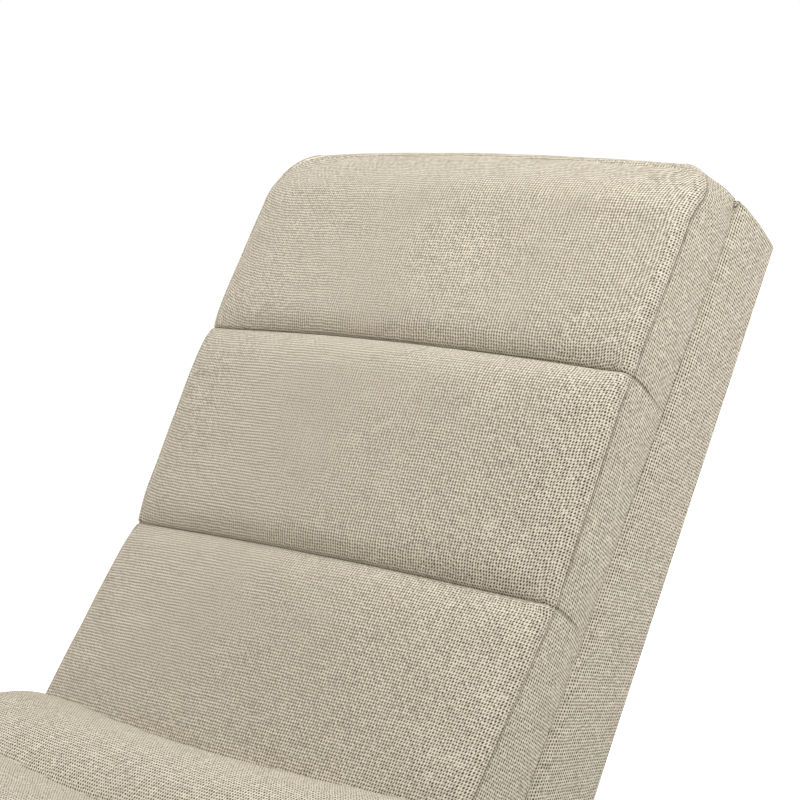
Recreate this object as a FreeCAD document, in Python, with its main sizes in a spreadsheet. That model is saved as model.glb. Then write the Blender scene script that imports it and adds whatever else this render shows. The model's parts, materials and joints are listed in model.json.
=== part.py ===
import FreeCAD, Part
import math
import os

import Sketcher
from FreeCAD import Placement, Rotation, Vector

# Chaise longue with a channelled seat and a channelled, fixed, leaning back.
# Millimetres. X runs across, Y towards the head, Z up. The origin lies on the floor
# under the middle of the bounding box. Left and right are as seen from the foot end.

# Driving dimensions

SIZES = (
    ("width", 540, "across the upholstered frame"),
    ("lean", 33, "degrees of the back from upright"),
    ("underside_height", 150, "floor to the underside of the frame"),
    ("frame_depth", 105, "underside of the frame to the deck under the seat pad"),
    ("board_thickness", 22, "frame boards"),
    ("cover_thickness", 6, "wadding and fabric round the frame"),
    ("fabric_thickness", 3, "outside back fabric over the back panel"),
    ("channel_pitch", 227, "seam to seam on the seat and on the back"),
    ("seat_channels", 5, "count of channels on the seat"),
    ("top_channel", 208, "uppermost channel of the back"),
    ("lumbar_run", 269, "junction to the lowest seam of the back, along the back"),
    ("seat_start", 49, "junction to the rear of the seat pad, at its seam level"),
    ("lumbar_foot", 128, "thickness of the back pad on the deck, level"),
    ("seat_pad", 92, "deck to the seams of the seat pad, near its sides"),
    ("back_pad", 66, "frame to the seams of the back pad, near its sides"),
    ("seat_bulge", 16, "rise of a seat channel over its seams"),
    ("back_bulge", 13, "rise of a back channel over its seams"),
    ("bulge_crest", 0.36, "crest of a back channel, as a share of the channel below its upper seam"),
    ("side_bulge", 0.45, "bulge at the sides of a pad, as a share of the full one"),
    ("back_crown", 18, "extra thickness in the middle of the back pad"),
    ("seat_dip", 10, "sag in the middle of the seat pad"),
    ("pad_margin", 2, "pads stand inside the frame by this"),
    ("pad_corner", 20, "rounding at the top of the back and at the foot"),
    ("corner_drop", 15, "fall of the end of a pad at its corners"),
    ("edge_draw", 6, "how far the sides of a pad are drawn in"),
    ("shoulder_inset", 32, "side of a pad to where it is full"),
    ("pad_clearance", 0.5, "seat pad to back pad"),
    ("frame_overtop", 4, "back frame above the top of the back pad"),
    ("back_top_depth", 70, "back frame at its top"),
    ("back_bottom_depth", 97, "back frame at its foot"),
    ("top_drop", 17, "fall of the top of the back frame to the rear"),
    ("seat_foam", 50, "thickness of the seat foam"),
    ("back_foam", 38, "thickness of the back foam"),
    ("foam_margin", 34, "foam inside the edges of its pad"),
    ("foam_clearance", 0.3, "foam to its pad"),
    ("webbing_thickness", 2, "webbing straps"),
    ("webbing_width", 50, "webbing straps"),
    ("webbing_pitch", 110, "strap to strap, at the least"),
    ("webbing_end", 75, "last strap of the back below the top of its frame"),
    ("cross_rail_depth", 70, "height of the cross rails of the seat"),
    ("front_cross_rail", 430, "foot end to the front cross rail"),
    ("rear_cross_rail", 760, "foot end to the rear cross rail"),
    ("back_rail_width", 70, "width of the rails across the back"),
    ("block_height", 32, "leg blocks"),
    ("block_reach", 110, "leg blocks from the side rail inwards"),
    ("leg_side_inset", 82, "side of the frame to the axis of a leg"),
    ("leg_front_inset", 88, "foot end to the axis of a front leg"),
    ("leg_behind", 55, "axis of a front leg to the end of its block"),
    ("block_clearance", 2, "rear leg blocks to the back panel"),
    ("leg_top", 46, "side of a leg at its plate"),
    ("leg_foot", 30, "side of a leg at its glide"),
    ("leg_chamfer", 5, "corners of a leg"),
    ("stud_radius", 4, "stud between leg and plate"),
    ("stud_depth", 35, "stud inside the leg"),
    ("plate_size", 64, "side of a leg plate"),
    ("plate_thickness", 3, "leg plates"),
    ("nut_radius", 7.5, "corners of the nut welded to a leg plate"),
    ("nut_height", 12, "nut welded to a leg plate"),
    ("nut_clearance", 0.5, "that nut to its hole in the block"),
    ("screw_radius", 2, "plate screws"),
    ("screw_length", 22, "plate screws under the head"),
    ("screw_head_radius", 4, "corners of the heads of the plate screws"),
    ("screw_head_height", 2.4, "heads of the plate screws"),
    ("screw_pitch", 52, "plate screws, hole to hole"),
    ("joint_screw_radius", 2.5, "screws through the end rails of the seat"),
    ("joint_screw_bite", 34, "those screws inside the side rails"),
    ("joint_head_radius", 5, "corners of the heads of those screws"),
    ("joint_head_height", 3, "heads of those screws"),
    ("joint_inset", 32, "those screws inside the edges of the front rail"),
    ("rear_joint_top", 69, "deck to the upper screws of the rear rail, along the back"),
    ("rear_joint_pitch", 38, "upper to lower screws of the rear rail"),
    ("glide_radius", 12, "glides under the legs"),
    ("glide_thickness", 5, "glides under the legs"),
    ("glide_pin_radius", 2.5, "pins of the glides"),
    ("glide_pin_length", 14, "pins of the glides"),
    ("bolt_radius", 4, "bolts between seat and back"),
    ("bolt_head_radius", 7.5, "corners of the hexagon head"),
    ("bolt_head_height", 5.3, "hexagon head"),
    ("bolt_tail", 6, "bolt behind the tee nut"),
    ("bolt_clearance", 0.5, "bolt to its hole in the seat rail"),
    ("bolt_below_deck", 44, "deck to the bolts, along the back"),
    ("bolt_inner", 73, "middle to the inner bolts"),
    ("bolt_outer", 194, "middle to the outer bolts"),
    ("washer_radius", 9, "washers under the bolt heads"),
    ("washer_thickness", 1.6, "washers under the bolt heads"),
    ("tee_barrel_radius", 5, "tee nuts"),
    ("tee_barrel_length", 10, "tee nuts"),
    ("tee_flange_radius", 11, "tee nuts"),
    ("tee_flange_thickness", 1.5, "tee nuts"),
    ("dust_thickness", 1, "dust cover under the frame"),
    ("dust_inset", 9, "dust cover inside the edges of the frame"),
    ("dust_clearance", 0.5, "dust cover round the leg plates"),
)

# Values that follow from the driving dimensions

DERIVED = (
    ("lean_sine", "sin(Sizes.lean * 1deg)"),
    ("lean_cosine", "cos(Sizes.lean * 1deg)"),
    ("lean_tangent", "tan(Sizes.lean * 1deg)"),
    ("half_width", "Sizes.width / 2"),
    ("board_outside", "Sizes.width / 2 - Sizes.cover_thickness"),
    ("board_inside", "Sizes.width / 2 - Sizes.cover_thickness - Sizes.board_thickness"),
    ("deck", "Sizes.underside_height + Sizes.frame_depth"),
    ("rail_top", "Sizes.underside_height + Sizes.frame_depth - Sizes.webbing_thickness"),
    ("channel_count", "round(Sizes.seat_channels)"),
    ("seat_run", "Sizes.seat_start + round(Sizes.seat_channels) * Sizes.channel_pitch"),
    ("upper_seam", "Sizes.lumbar_run + Sizes.channel_pitch"),
    ("pad_top", "Sizes.lumbar_run + Sizes.channel_pitch + Sizes.top_channel"),
    ("frame_top", "Sizes.lumbar_run + Sizes.channel_pitch + Sizes.top_channel + Sizes.frame_overtop"),
)

# Values that follow from those

PLACES = (
    ("rear_reach", "(Derived.frame_top - Sizes.top_drop) * Derived.lean_sine"
                   " + Sizes.back_top_depth * Derived.lean_cosine"),
    ("back_foot", "-Sizes.frame_depth / Derived.lean_cosine"),
    ("foot_reach", "Sizes.back_bottom_depth / Derived.lean_cosine"
                   " - Sizes.frame_depth * Derived.lean_tangent"),
    ("top_slope", "Sizes.top_drop / Sizes.back_top_depth"),
    ("rail_run", "Sizes.board_thickness / Derived.lean_cosine"),
    ("block_depth", "Sizes.back_bottom_depth - Sizes.cover_thickness - Sizes.block_clearance"),
)

JUNCTION = "((Derived.seat_run - Places.rear_reach) / 2)"
FOOT_END = "((Derived.seat_run - Places.rear_reach) / 2 - Derived.seat_run)"

doc = FreeCAD.newDocument("chaise_longue")


def fill_sheet(name, rows):
    """A sheet with one named value per row."""
    sheet = doc.addObject("Spreadsheet::Sheet", name)
    for line, row in enumerate(rows, 1):
        sheet.set(f"A{line}", row[0])
        sheet.set(f"B{line}", str(row[1]))
        sheet.setAlias(f"B{line}", row[0])
        if len(row) > 2:
            sheet.set(f"C{line}", row[2])
    doc.recompute()
    return sheet


sizes = fill_sheet("Sizes", SIZES)
fill_sheet("Derived", [(name, "=" + formula) for name, formula in DERIVED])
fill_sheet("Places", [(name, "=" + formula) for name, formula in PLACES])


def value(expression):
    """The number that an expression over the sheets comes to."""
    return float(sizes.evalExpression(str(expression)))


# Building blocks

# Fasteners are drawn with flat sides, so that the many of them stay light
FASTENER_SIDES = 6
WASHER_SIDES = 12


def origin_plane(body, role):
    return next(plane for plane in body.Origin.OriginFeatures if plane.Role == role)


def sketch_on(body, name, plane, start="0"):
    sketch = body.newObject("Sketcher::SketchObject", name)
    sketch.AttachmentSupport = [(origin_plane(body, plane), "")]
    sketch.MapMode = "FlatFace"
    sketch.setExpression("AttachmentOffset.Base.z", start)
    return sketch


def draw_outline(sketch, corners):
    """Straight lines from corner to corner, every corner held by two expressions."""
    first = sketch.GeometryCount
    points = [Vector(value(across), value(along), 0) for across, along in corners]
    count = len(points)
    for spot in range(count):
        line = Part.LineSegment(points[spot], points[(spot + 1) % count])
        sketch.addGeometry(line, False)
    for spot in range(count):
        follower = first + (spot + 1) % count
        sketch.addConstraint(Sketcher.Constraint("Coincident", first + spot, 2, follower, 1))
    for spot, (across, along) in enumerate(corners):
        hold_point(sketch, first + spot, 1, across, along)


def hold_point(sketch, line, end, across, along):
    for kind, expression in (("DistanceX", across), ("DistanceY", along)):
        number = sketch.addConstraint(Sketcher.Constraint(kind, -1, 1, line, end, value(expression)))
        sketch.setExpression(f"Constraints[{number}]", expression)


def pad_from(body, sketch, length):
    pad = body.newObject("PartDesign::Pad", "Pad")
    pad.Profile = sketch
    pad.setExpression("Length", length)
    return pad


def lean_on_back(piece):
    """Puts a piece drawn in the frame of the back, depth along Y and height along Z, in its place."""
    piece.Placement = Placement(Vector(0, 0, 0), Rotation(Vector(-1, 0, 0), value("Sizes.lean")))
    piece.setExpression("Placement.Base.y", JUNCTION)
    piece.setExpression("Placement.Base.z", "Derived.deck")
    piece.setExpression("Placement.Rotation.Angle", "Sizes.lean * 1deg")


def board(label, corners, start, length, leaning=False):
    """A side profile in depth and height, run across the chaise from start over length."""
    body = doc.addObject("PartDesign::Body", label)
    body.Label = label
    sketch = sketch_on(body, "Profile", "YZ_Plane", start)
    draw_outline(sketch, corners)
    pad_from(body, sketch, length)
    if leaning:
        lean_on_back(body)
    return body


def turned(label, corners):
    """A piece turned about its own Z axis from a half profile in radius and height."""
    body = doc.addObject("PartDesign::Body", label)
    body.Label = label
    sketch = sketch_on(body, "Profile", "XZ_Plane")
    draw_outline(sketch, corners)
    turn = body.newObject("PartDesign::Revolution", "Turn")
    turn.Profile = sketch
    turn.ReferenceAxis = (sketch, ["V_Axis"])
    turn.Angle = 360
    return body


def prism(name, radius, start, height, sides=FASTENER_SIDES):
    """An upright many-sided rod, its radius taken to its corners."""
    rod = doc.addObject("Part::Prism", name)
    rod.Polygon = sides
    rod.setExpression("Circumradius", radius)
    rod.setExpression("Placement.Base.z", start)
    rod.setExpression("Height", height)
    return rod


def joined(name, pieces):
    """Several forms as one solid."""
    whole = doc.addObject("Part::MultiFuse", name)
    whole.Shapes = pieces
    return whole


def headed(name, radius, length, head_radius, head_height):
    """A screw or bolt along Z, with its head below the origin and its shank above."""
    head = prism(f"{name}_head", head_radius, f"-({head_height})", head_height)
    shank = prism(f"{name}_shank", radius, "0", length)
    return joined(name, [head, shank])


def copies(label, form, spots):
    """One sub-part that holds a separate solid of the same form at every spot."""
    doc.recompute()
    group = doc.addObject("Part::Feature", label)
    group.Label = label
    solids = []
    for spot in spots:
        solid = form.Shape.copy()
        solid.Placement = spot.multiply(solid.Placement)
        solids.append(solid)
    group.Shape = Part.makeCompound(solids)
    return group


def drilled(label, piece, tools):
    """The piece with the form of the tools taken out of it."""
    cut = doc.addObject("Part::Cut", label)
    cut.Label = label
    cut.Base = piece
    cut.Tool = tools
    return cut


def tool_group(name, tools):
    compound = doc.addObject("Part::Compound", name)
    compound.Links = tools
    return compound


# Places that several pieces share

WITHIN_COVERS = ("-Derived.board_outside", "2 * Derived.board_outside")
BETWEEN_BOARDS = ("-Derived.board_inside", "2 * Derived.board_inside")
BOARDS = {"left": "-Derived.board_outside", "right": "Derived.board_inside"}
COVERS = {"left": "-Derived.half_width", "right": "Derived.board_outside"}
UNDERSIDE = "Sizes.underside_height"
SIDES = ("left", "right")
TO_REAR = Rotation(Vector(1, 0, 0), -90)
TO_FRONT = Rotation(Vector(1, 0, 0), 90)
LEGS = (("front", "left"), ("front", "right"), ("rear", "left"), ("rear", "right"))
LEG_ACROSS = {
    "left": "-(Derived.half_width - Sizes.leg_side_inset)",
    "right": "Derived.half_width - Sizes.leg_side_inset",
}
REAR_FOOT = f"{JUNCTION} - Sizes.frame_depth * Derived.lean_tangent"
LEG_ALONG = {
    "front": f"{FOOT_END} + Sizes.leg_front_inset",
    "rear": f"{REAR_FOOT} + (Sizes.board_thickness + Places.block_depth) / 2 / Derived.lean_cosine",
}


def on_rear_plane(height, shift="0"):
    """Depth of the leaning plane between seat and back at a height."""
    return f"{JUNCTION} + ({height} - Derived.deck) * Derived.lean_tangent - ({shift})"


def foot_of_back(depth):
    """Height, along the back, of the level underside at a depth in the back."""
    return f"Places.back_foot + ({depth}) * Derived.lean_tangent"


def head_of_back(depth, below="0"):
    """Height, along the back, of the sloping top at a depth in the back."""
    return f"Derived.frame_top - ({depth}) * Places.top_slope - ({below})"


def back_place():
    """The frame of the back as a placement."""
    lean = Rotation(Vector(-1, 0, 0), value("Sizes.lean"))
    return Placement(Vector(0, value(JUNCTION), value("Derived.deck")), lean)


def leg_place(end, side, height):
    return Placement(Vector(value(LEG_ACROSS[side]), value(LEG_ALONG[end]), value(height)), Rotation())


# Seat frame boards

front_face = f"{FOOT_END} + Sizes.cover_thickness"
front_back = f"{FOOT_END} + Sizes.cover_thickness + Sizes.board_thickness"

front_rail = board("front_rail_blank", [
    (front_face, UNDERSIDE),
    (front_back, UNDERSIDE),
    (front_back, "Derived.rail_top"),
    (front_face, "Derived.rail_top"),
], *WITHIN_COVERS)

rear_rail = board("rear_rail_blank", [
    (on_rear_plane(UNDERSIDE, "Places.rail_run"), UNDERSIDE),
    (on_rear_plane(UNDERSIDE), UNDERSIDE),
    (on_rear_plane("Derived.rail_top"), "Derived.rail_top"),
    (on_rear_plane("Derived.rail_top", "Places.rail_run"), "Derived.rail_top"),
], *WITHIN_COVERS)

side_rails = {}
for side in SIDES:
    side_rails[side] = board(f"side_rail_blank_{side}", [
        (front_back, UNDERSIDE),
        (on_rear_plane(UNDERSIDE, "Places.rail_run"), UNDERSIDE),
        (on_rear_plane("Derived.rail_top", "Places.rail_run"), "Derived.rail_top"),
        (front_back, "Derived.rail_top"),
    ], BOARDS[side], "Sizes.board_thickness")

for name in ("front", "rear"):
    middle = f"{FOOT_END} + Sizes.{name}_cross_rail"
    board(f"seat_cross_rail_{name}", [
        (f"{middle} - Sizes.board_thickness / 2", UNDERSIDE),
        (f"{middle} + Sizes.board_thickness / 2", UNDERSIDE),
        (f"{middle} + Sizes.board_thickness / 2", f"{UNDERSIDE} + Sizes.cross_rail_depth"),
        (f"{middle} - Sizes.board_thickness / 2", f"{UNDERSIDE} + Sizes.cross_rail_depth"),
    ], *BETWEEN_BOARDS)

# Screws that join the end rails of the seat to its side rails

joint_screw = headed(
    "joint_screw_form",
    "Sizes.joint_screw_radius",
    "Sizes.board_thickness - Sizes.joint_head_height + Sizes.joint_screw_bite",
    "Sizes.joint_head_radius",
    "Sizes.joint_head_height",
)
board_middle = value("(Derived.board_inside + Derived.board_outside) / 2")
joint_spots = []
for across in (-board_middle, board_middle):
    sunk = value(f"{front_face} + Sizes.joint_head_height")
    for height in (f"{UNDERSIDE} + Sizes.joint_inset", "Derived.deck - Sizes.joint_inset"):
        joint_spots.append(Placement(Vector(across, sunk, value(height)), TO_REAR))
    for down in ("Sizes.rear_joint_top", "Sizes.rear_joint_top + Sizes.rear_joint_pitch"):
        on_back = Vector(across, -value("Sizes.joint_head_height"), -value(down))
        joint_spots.append(back_place().multiply(Placement(on_back, TO_FRONT)))
joint_screws = copies("joint_screws", joint_screw, joint_spots)

# Bolts, washers and tee nuts that hold the back to the seat

bolt_form = headed(
    "bolt_form",
    "Sizes.bolt_radius",
    "2 * Sizes.board_thickness + Sizes.washer_thickness + Sizes.bolt_tail",
    "Sizes.bolt_head_radius",
    "Sizes.bolt_head_height",
)
bolt_room = "Sizes.bolt_radius + Sizes.bolt_clearance"
washer_form = drilled(
    "washer_form",
    prism("washer_disc", "Sizes.washer_radius", "0", "Sizes.washer_thickness", WASHER_SIDES),
    prism("washer_hole", bolt_room, "0", "Sizes.washer_thickness"),
)
through_board = "2 * Sizes.board_thickness"
tee_length = "Sizes.tee_barrel_length"
tee_barrel = prism("tee_barrel", "Sizes.tee_barrel_radius", f"-{tee_length}", tee_length)
tee_flange = prism("tee_flange", "Sizes.tee_flange_radius", "0", "Sizes.tee_flange_thickness", WASHER_SIDES)
tee_form = drilled(
    "tee_form",
    joined("tee_blank", [tee_barrel, tee_flange]),
    prism("tee_thread", "Sizes.bolt_radius", "-Sizes.board_thickness", through_board),
)
rail_hole = prism("rail_hole", bolt_room, "0", through_board)
tee_hole = prism("tee_hole", "Sizes.tee_barrel_radius", "0", through_board)


def bolt_spots(depth):
    """The four bolt axes, pointing to the rear of the back, from a depth in the back."""
    spots = []
    for across in ("-Sizes.bolt_outer", "-Sizes.bolt_inner", "Sizes.bolt_inner", "Sizes.bolt_outer"):
        start = Vector(value(across), value(depth), -value("Sizes.bolt_below_deck"))
        spots.append(back_place().multiply(Placement(start, TO_REAR)))
    return spots


copies("back_bolts", bolt_form, bolt_spots("-Sizes.board_thickness - Sizes.washer_thickness"))
copies("bolt_washers", washer_form, bolt_spots("-Sizes.board_thickness - Sizes.washer_thickness"))
copies("tee_nuts", tee_form, bolt_spots("Sizes.board_thickness"))
rail_holes = copies("rail_holes", rail_hole, bolt_spots("-1.5 * Sizes.board_thickness"))
tee_holes = copies("tee_holes", tee_hole, bolt_spots("-Sizes.board_thickness / 2"))

drilled("seat_front_rail", front_rail, joint_screws)
drilled("seat_rear_rail", rear_rail, tool_group("rear_rail_tools", [joint_screws, rail_holes]))
for side in SIDES:
    drilled(f"seat_side_rail_{side}", side_rails[side], joint_screws)

# Back frame boards, drawn in the frame of the back

rear_line = "Sizes.back_bottom_depth - Sizes.cover_thickness"
top_line = "Sizes.back_top_depth - Sizes.cover_thickness"
web = "Sizes.webbing_thickness"
under_cover = "Sizes.cover_thickness"

for side in SIDES:
    board(f"back_stile_{side}", [
        (web, foot_of_back(web)),
        (rear_line, foot_of_back(rear_line)),
        (top_line, head_of_back(top_line, under_cover)),
        (web, head_of_back(web, under_cover)),
    ], BOARDS[side], "Sizes.board_thickness", leaning=True)

below_rail = "Sizes.cover_thickness + Sizes.board_thickness"
board("back_top_rail", [
    (web, head_of_back(web, below_rail)),
    (top_line, head_of_back(top_line, below_rail)),
    (top_line, head_of_back(top_line, under_cover)),
    (web, head_of_back(web, under_cover)),
], *BETWEEN_BOARDS, leaning=True)

for name, seam in (("middle", "Derived.upper_seam"), ("lumbar", "Sizes.lumbar_run")):
    board(f"back_{name}_rail", [
        (web, f"{seam} - Sizes.back_rail_width / 2"),
        (f"{web} + Sizes.board_thickness", f"{seam} - Sizes.back_rail_width / 2"),
        (f"{web} + Sizes.board_thickness", f"{seam} + Sizes.back_rail_width / 2"),
        (web, f"{seam} + Sizes.back_rail_width / 2"),
    ], *BETWEEN_BOARDS, leaning=True)

bottom_rail = board("bottom_rail_blank", [
    ("0", foot_of_back("0")),
    ("Sizes.board_thickness", foot_of_back("Sizes.board_thickness")),
    ("Sizes.board_thickness", "-Sizes.webbing_thickness / Derived.lean_cosine"),
    ("0", "-Sizes.webbing_thickness / Derived.lean_cosine"),
], *BETWEEN_BOARDS, leaning=True)
drilled("back_bottom_rail", bottom_rail, tee_holes)

# Webbing straps

strap_span = value("2 * Derived.board_outside")
strap_wide = value("Sizes.webbing_width")
strap_thick = value(web)

strap_form = doc.addObject("Part::Box", "strap_form")
strap_form.setExpression("Length", "2 * Derived.board_outside")
strap_form.setExpression("Width", "Sizes.webbing_width")
strap_form.setExpression("Height", "Sizes.webbing_thickness")


def spread(first, last):
    """Evenly spread places of straps between two ends."""
    room = last - first - strap_wide
    count = max(2, int(room // value("Sizes.webbing_pitch")) + 1)
    return [first + room * number / (count - 1) for number in range(count)]


seat_from = value(front_back) + strap_wide / 2
seat_to = value(on_rear_plane("Derived.rail_top", "Places.rail_run")) - strap_wide / 2
copies("seat_webbing", strap_form, [
    Placement(Vector(-strap_span / 2, place, value("Derived.rail_top")), Rotation())
    for place in spread(seat_from, seat_to)
])
copies("back_webbing", strap_form, [
    back_place().multiply(Placement(Vector(-strap_span / 2, strap_thick, place), TO_FRONT))
    for place in spread(strap_wide, value("Derived.frame_top - Sizes.webbing_end"))
])

# Covers of the frame

board("seat_front_cover", [
    (FOOT_END, UNDERSIDE),
    (front_face, UNDERSIDE),
    (front_face, "Derived.deck"),
    (FOOT_END, "Derived.deck"),
], "-Derived.half_width", "Sizes.width")

for side in SIDES:
    board(f"seat_side_cover_{side}", [
        (front_face, UNDERSIDE),
        (on_rear_plane(UNDERSIDE), UNDERSIDE),
        (on_rear_plane("Derived.deck"), "Derived.deck"),
        (front_face, "Derived.deck"),
    ], COVERS[side], "Sizes.cover_thickness")
    board(f"back_side_cover_{side}", [
        ("0", foot_of_back("0")),
        ("Sizes.back_bottom_depth", foot_of_back("Sizes.back_bottom_depth")),
        ("Sizes.back_top_depth", head_of_back("Sizes.back_top_depth", under_cover)),
        ("Sizes.back_top_depth", head_of_back("Sizes.back_top_depth")),
        ("0", head_of_back("0")),
    ], COVERS[side], "Sizes.cover_thickness", leaning=True)

board("back_top_cover", [
    ("0", head_of_back("0", under_cover)),
    ("Sizes.back_top_depth", head_of_back("Sizes.back_top_depth", under_cover)),
    ("Sizes.back_top_depth", head_of_back("Sizes.back_top_depth")),
    ("0", head_of_back("0")),
], *WITHIN_COVERS, leaning=True)


def rear_layer(label, outer, inner):
    """A layer behind the back frame between two depths under its rear face."""
    board(label, [
        (f"Sizes.back_bottom_depth - {inner}", foot_of_back(f"Sizes.back_bottom_depth - {inner}")),
        (f"Sizes.back_bottom_depth - {outer}", foot_of_back(f"Sizes.back_bottom_depth - {outer}")),
        (f"Sizes.back_top_depth - {outer}", head_of_back(f"Sizes.back_top_depth - {outer}", under_cover)),
        (f"Sizes.back_top_depth - {inner}", head_of_back(f"Sizes.back_top_depth - {inner}", under_cover)),
    ], *WITHIN_COVERS, leaning=True)


rear_layer("outside_back_cover", "0", "Sizes.fabric_thickness")
rear_layer("back_panel_board", "Sizes.fabric_thickness", "Sizes.cover_thickness")

# Legs with their plates, screws, studs and glides

plate_under = f"{UNDERSIDE} - Sizes.plate_thickness"
leg_length = f"{UNDERSIDE} - Sizes.plate_thickness - Sizes.glide_thickness"

glide_form = turned("glide_form", [
    ("0", "0"),
    ("Sizes.glide_radius", "0"),
    ("Sizes.glide_radius", "Sizes.glide_thickness"),
    ("Sizes.glide_pin_radius", "Sizes.glide_thickness"),
    ("Sizes.glide_pin_radius", "Sizes.glide_thickness + Sizes.glide_pin_length"),
    ("0", "Sizes.glide_thickness + Sizes.glide_pin_length"),
])
leg_glides = copies("leg_glides", glide_form, [leg_place(end, side, "0") for end, side in LEGS])

stud_length = "Sizes.stud_depth + Sizes.plate_thickness + Sizes.nut_height"
stud_form = prism("stud_form", "Sizes.stud_radius", "0", stud_length)
stud_foot = f"{plate_under} - Sizes.stud_depth"
leg_studs = copies("leg_studs", stud_form, [leg_place(end, side, stud_foot) for end, side in LEGS])


def chamfered_square(side):
    """Corners of a square on the axis with its corners cut off."""
    half = f"{side} / 2"
    short = f"({side} / 2 - Sizes.leg_chamfer)"
    return [
        (short, f"-{half}"), (half, f"-{short}"), (half, short), (short, half),
        (f"-{short}", half), (f"-{half}", short), (f"-{half}", f"-{short}"), (f"-{short}", f"-{half}"),
    ]


leg_tools = tool_group("leg_tools", [leg_glides, leg_studs])
for end, side in LEGS:
    leg = doc.addObject("PartDesign::Body", f"leg_blank_{end}_{side}")
    foot_sketch = sketch_on(leg, "Foot", "XY_Plane")
    draw_outline(foot_sketch, chamfered_square("Sizes.leg_foot"))
    top_sketch = sketch_on(leg, "Top", "XY_Plane", leg_length)
    draw_outline(top_sketch, chamfered_square("Sizes.leg_top"))
    taper = leg.newObject("PartDesign::AdditiveLoft", "Taper")
    taper.Profile = foot_sketch
    taper.Sections = [(top_sketch, [""])]
    taper.Ruled = True
    leg.setExpression("Placement.Base.x", LEG_ACROSS[side])
    leg.setExpression("Placement.Base.y", LEG_ALONG[end])
    leg.setExpression("Placement.Base.z", "Sizes.glide_thickness")
    drilled(f"leg_{end}_{side}", leg, leg_tools)

screw_form = headed(
    "screw_form",
    "Sizes.screw_radius",
    "Sizes.screw_length",
    "Sizes.screw_head_radius",
    "Sizes.screw_head_height",
)
screw_spots = []
half_pitch = value("Sizes.screw_pitch / 2")
for end, side in LEGS:
    for across in (-half_pitch, half_pitch):
        for along in (-half_pitch, half_pitch):
            spot = leg_place(end, side, plate_under)
            screw_spots.append(Placement(spot.Base + Vector(across, along, 0), Rotation()))
plate_screws = copies("leg_plate_screws", screw_form, screw_spots)

plate_sheet = doc.addObject("Part::Box", "plate_sheet")
plate_sheet.setExpression("Length", "Sizes.plate_size")
plate_sheet.setExpression("Width", "Sizes.plate_size")
plate_sheet.setExpression("Height", "Sizes.plate_thickness")
plate_sheet.setExpression("Placement.Base.x", "-Sizes.plate_size / 2")
plate_sheet.setExpression("Placement.Base.y", "-Sizes.plate_size / 2")
plate_nut = prism("plate_nut", "Sizes.nut_radius", "Sizes.plate_thickness", "Sizes.nut_height")
plate_form = joined("plate_form", [plate_sheet, plate_nut])
plate_blanks = copies("plate_blanks", plate_form, [leg_place(end, side, plate_under) for end, side in LEGS])
drilled("leg_plates", plate_blanks, tool_group("plate_tools", [plate_screws, leg_studs]))

nut_hole = prism("nut_hole", "Sizes.nut_radius + Sizes.nut_clearance", "0", "2 * Sizes.block_height")
nut_holes = copies("nut_holes", nut_hole, [
    leg_place(end, side, f"{UNDERSIDE} - Sizes.block_height / 2") for end, side in LEGS
])
block_top = f"{UNDERSIDE} + Sizes.block_height"
block_starts = {"left": "-Derived.board_inside", "right": "Derived.board_inside - Sizes.block_reach"}
block_blanks = []
for side in SIDES:
    front_end = f"{FOOT_END} + Sizes.leg_front_inset + Sizes.leg_behind"
    block_blanks.append(board(f"front_block_{side}", [
        (front_back, UNDERSIDE),
        (front_end, UNDERSIDE),
        (front_end, block_top),
        (front_back, block_top),
    ], block_starts[side], "Sizes.block_reach"))
    block_rear = "-Places.block_depth / Derived.lean_cosine"
    block_blanks.append(board(f"rear_block_{side}", [
        (on_rear_plane(UNDERSIDE, "-Places.rail_run"), UNDERSIDE),
        (on_rear_plane(UNDERSIDE, block_rear), UNDERSIDE),
        (on_rear_plane(block_top, block_rear), block_top),
        (on_rear_plane(block_top, "-Places.rail_run"), block_top),
    ], block_starts[side], "Sizes.block_reach"))
block_tools = tool_group("block_tools", [plate_screws, nut_holes])
drilled("leg_blocks", tool_group("block_blanks", block_blanks), block_tools)

# Dust cover under the frame, cut out round the leg plates

dust_cover = doc.addObject("PartDesign::Body", "dust_cover")
dust_cover.Label = "dust_cover"
dust_sketch = sketch_on(dust_cover, "Sheet", "XY_Plane", f"{UNDERSIDE} - Sizes.dust_thickness")
dust_side = "Derived.half_width - Sizes.dust_inset"
dust_foot = f"{FOOT_END} + Sizes.dust_inset"
dust_head = f"{JUNCTION} + Places.foot_reach - Sizes.dust_inset"
draw_outline(dust_sketch, [
    (f"-({dust_side})", dust_foot),
    (dust_side, dust_foot),
    (dust_side, dust_head),
    (f"-({dust_side})", dust_head),
])
window = "(Sizes.plate_size / 2 + Sizes.dust_clearance)"
for end, side in LEGS:
    across = LEG_ACROSS[side]
    along = LEG_ALONG[end]
    draw_outline(dust_sketch, [
        (f"{across} - {window}", f"{along} - {window}"),
        (f"{across} + {window}", f"{along} - {window}"),
        (f"{across} + {window}", f"{along} + {window}"),
        (f"{across} - {window}", f"{along} + {window}"),
    ])
pad_from(dust_cover, dust_sketch, "Sizes.dust_thickness")

# Channelled pads, lofted across the chaise through outlines of lines and shallow arcs

SHOULDER_STATIONS = (0, 0.12, 0.3, 0.6, 1)
INNER_STATIONS = (0.62, 0.31)
MIDDLE_BULGE = 0.3

lean_angle = math.radians(value("Sizes.lean"))
half_pad = value("Derived.half_width - Sizes.pad_margin")
foam_gap = value("Sizes.foam_clearance")
contact_gap = value("Sizes.pad_clearance")
corner = value("Sizes.pad_corner")
corner_rise = corner * (math.sqrt(2) - 1) / math.sqrt(2)


def from_deck(along, height):
    """A point of the side view, measured from the junction, in the frame of the back."""
    depth = along * math.cos(lean_angle) - height * math.sin(lean_angle)
    rise = along * math.sin(lean_angle) + height * math.cos(lean_angle)
    return (depth, rise)


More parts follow.
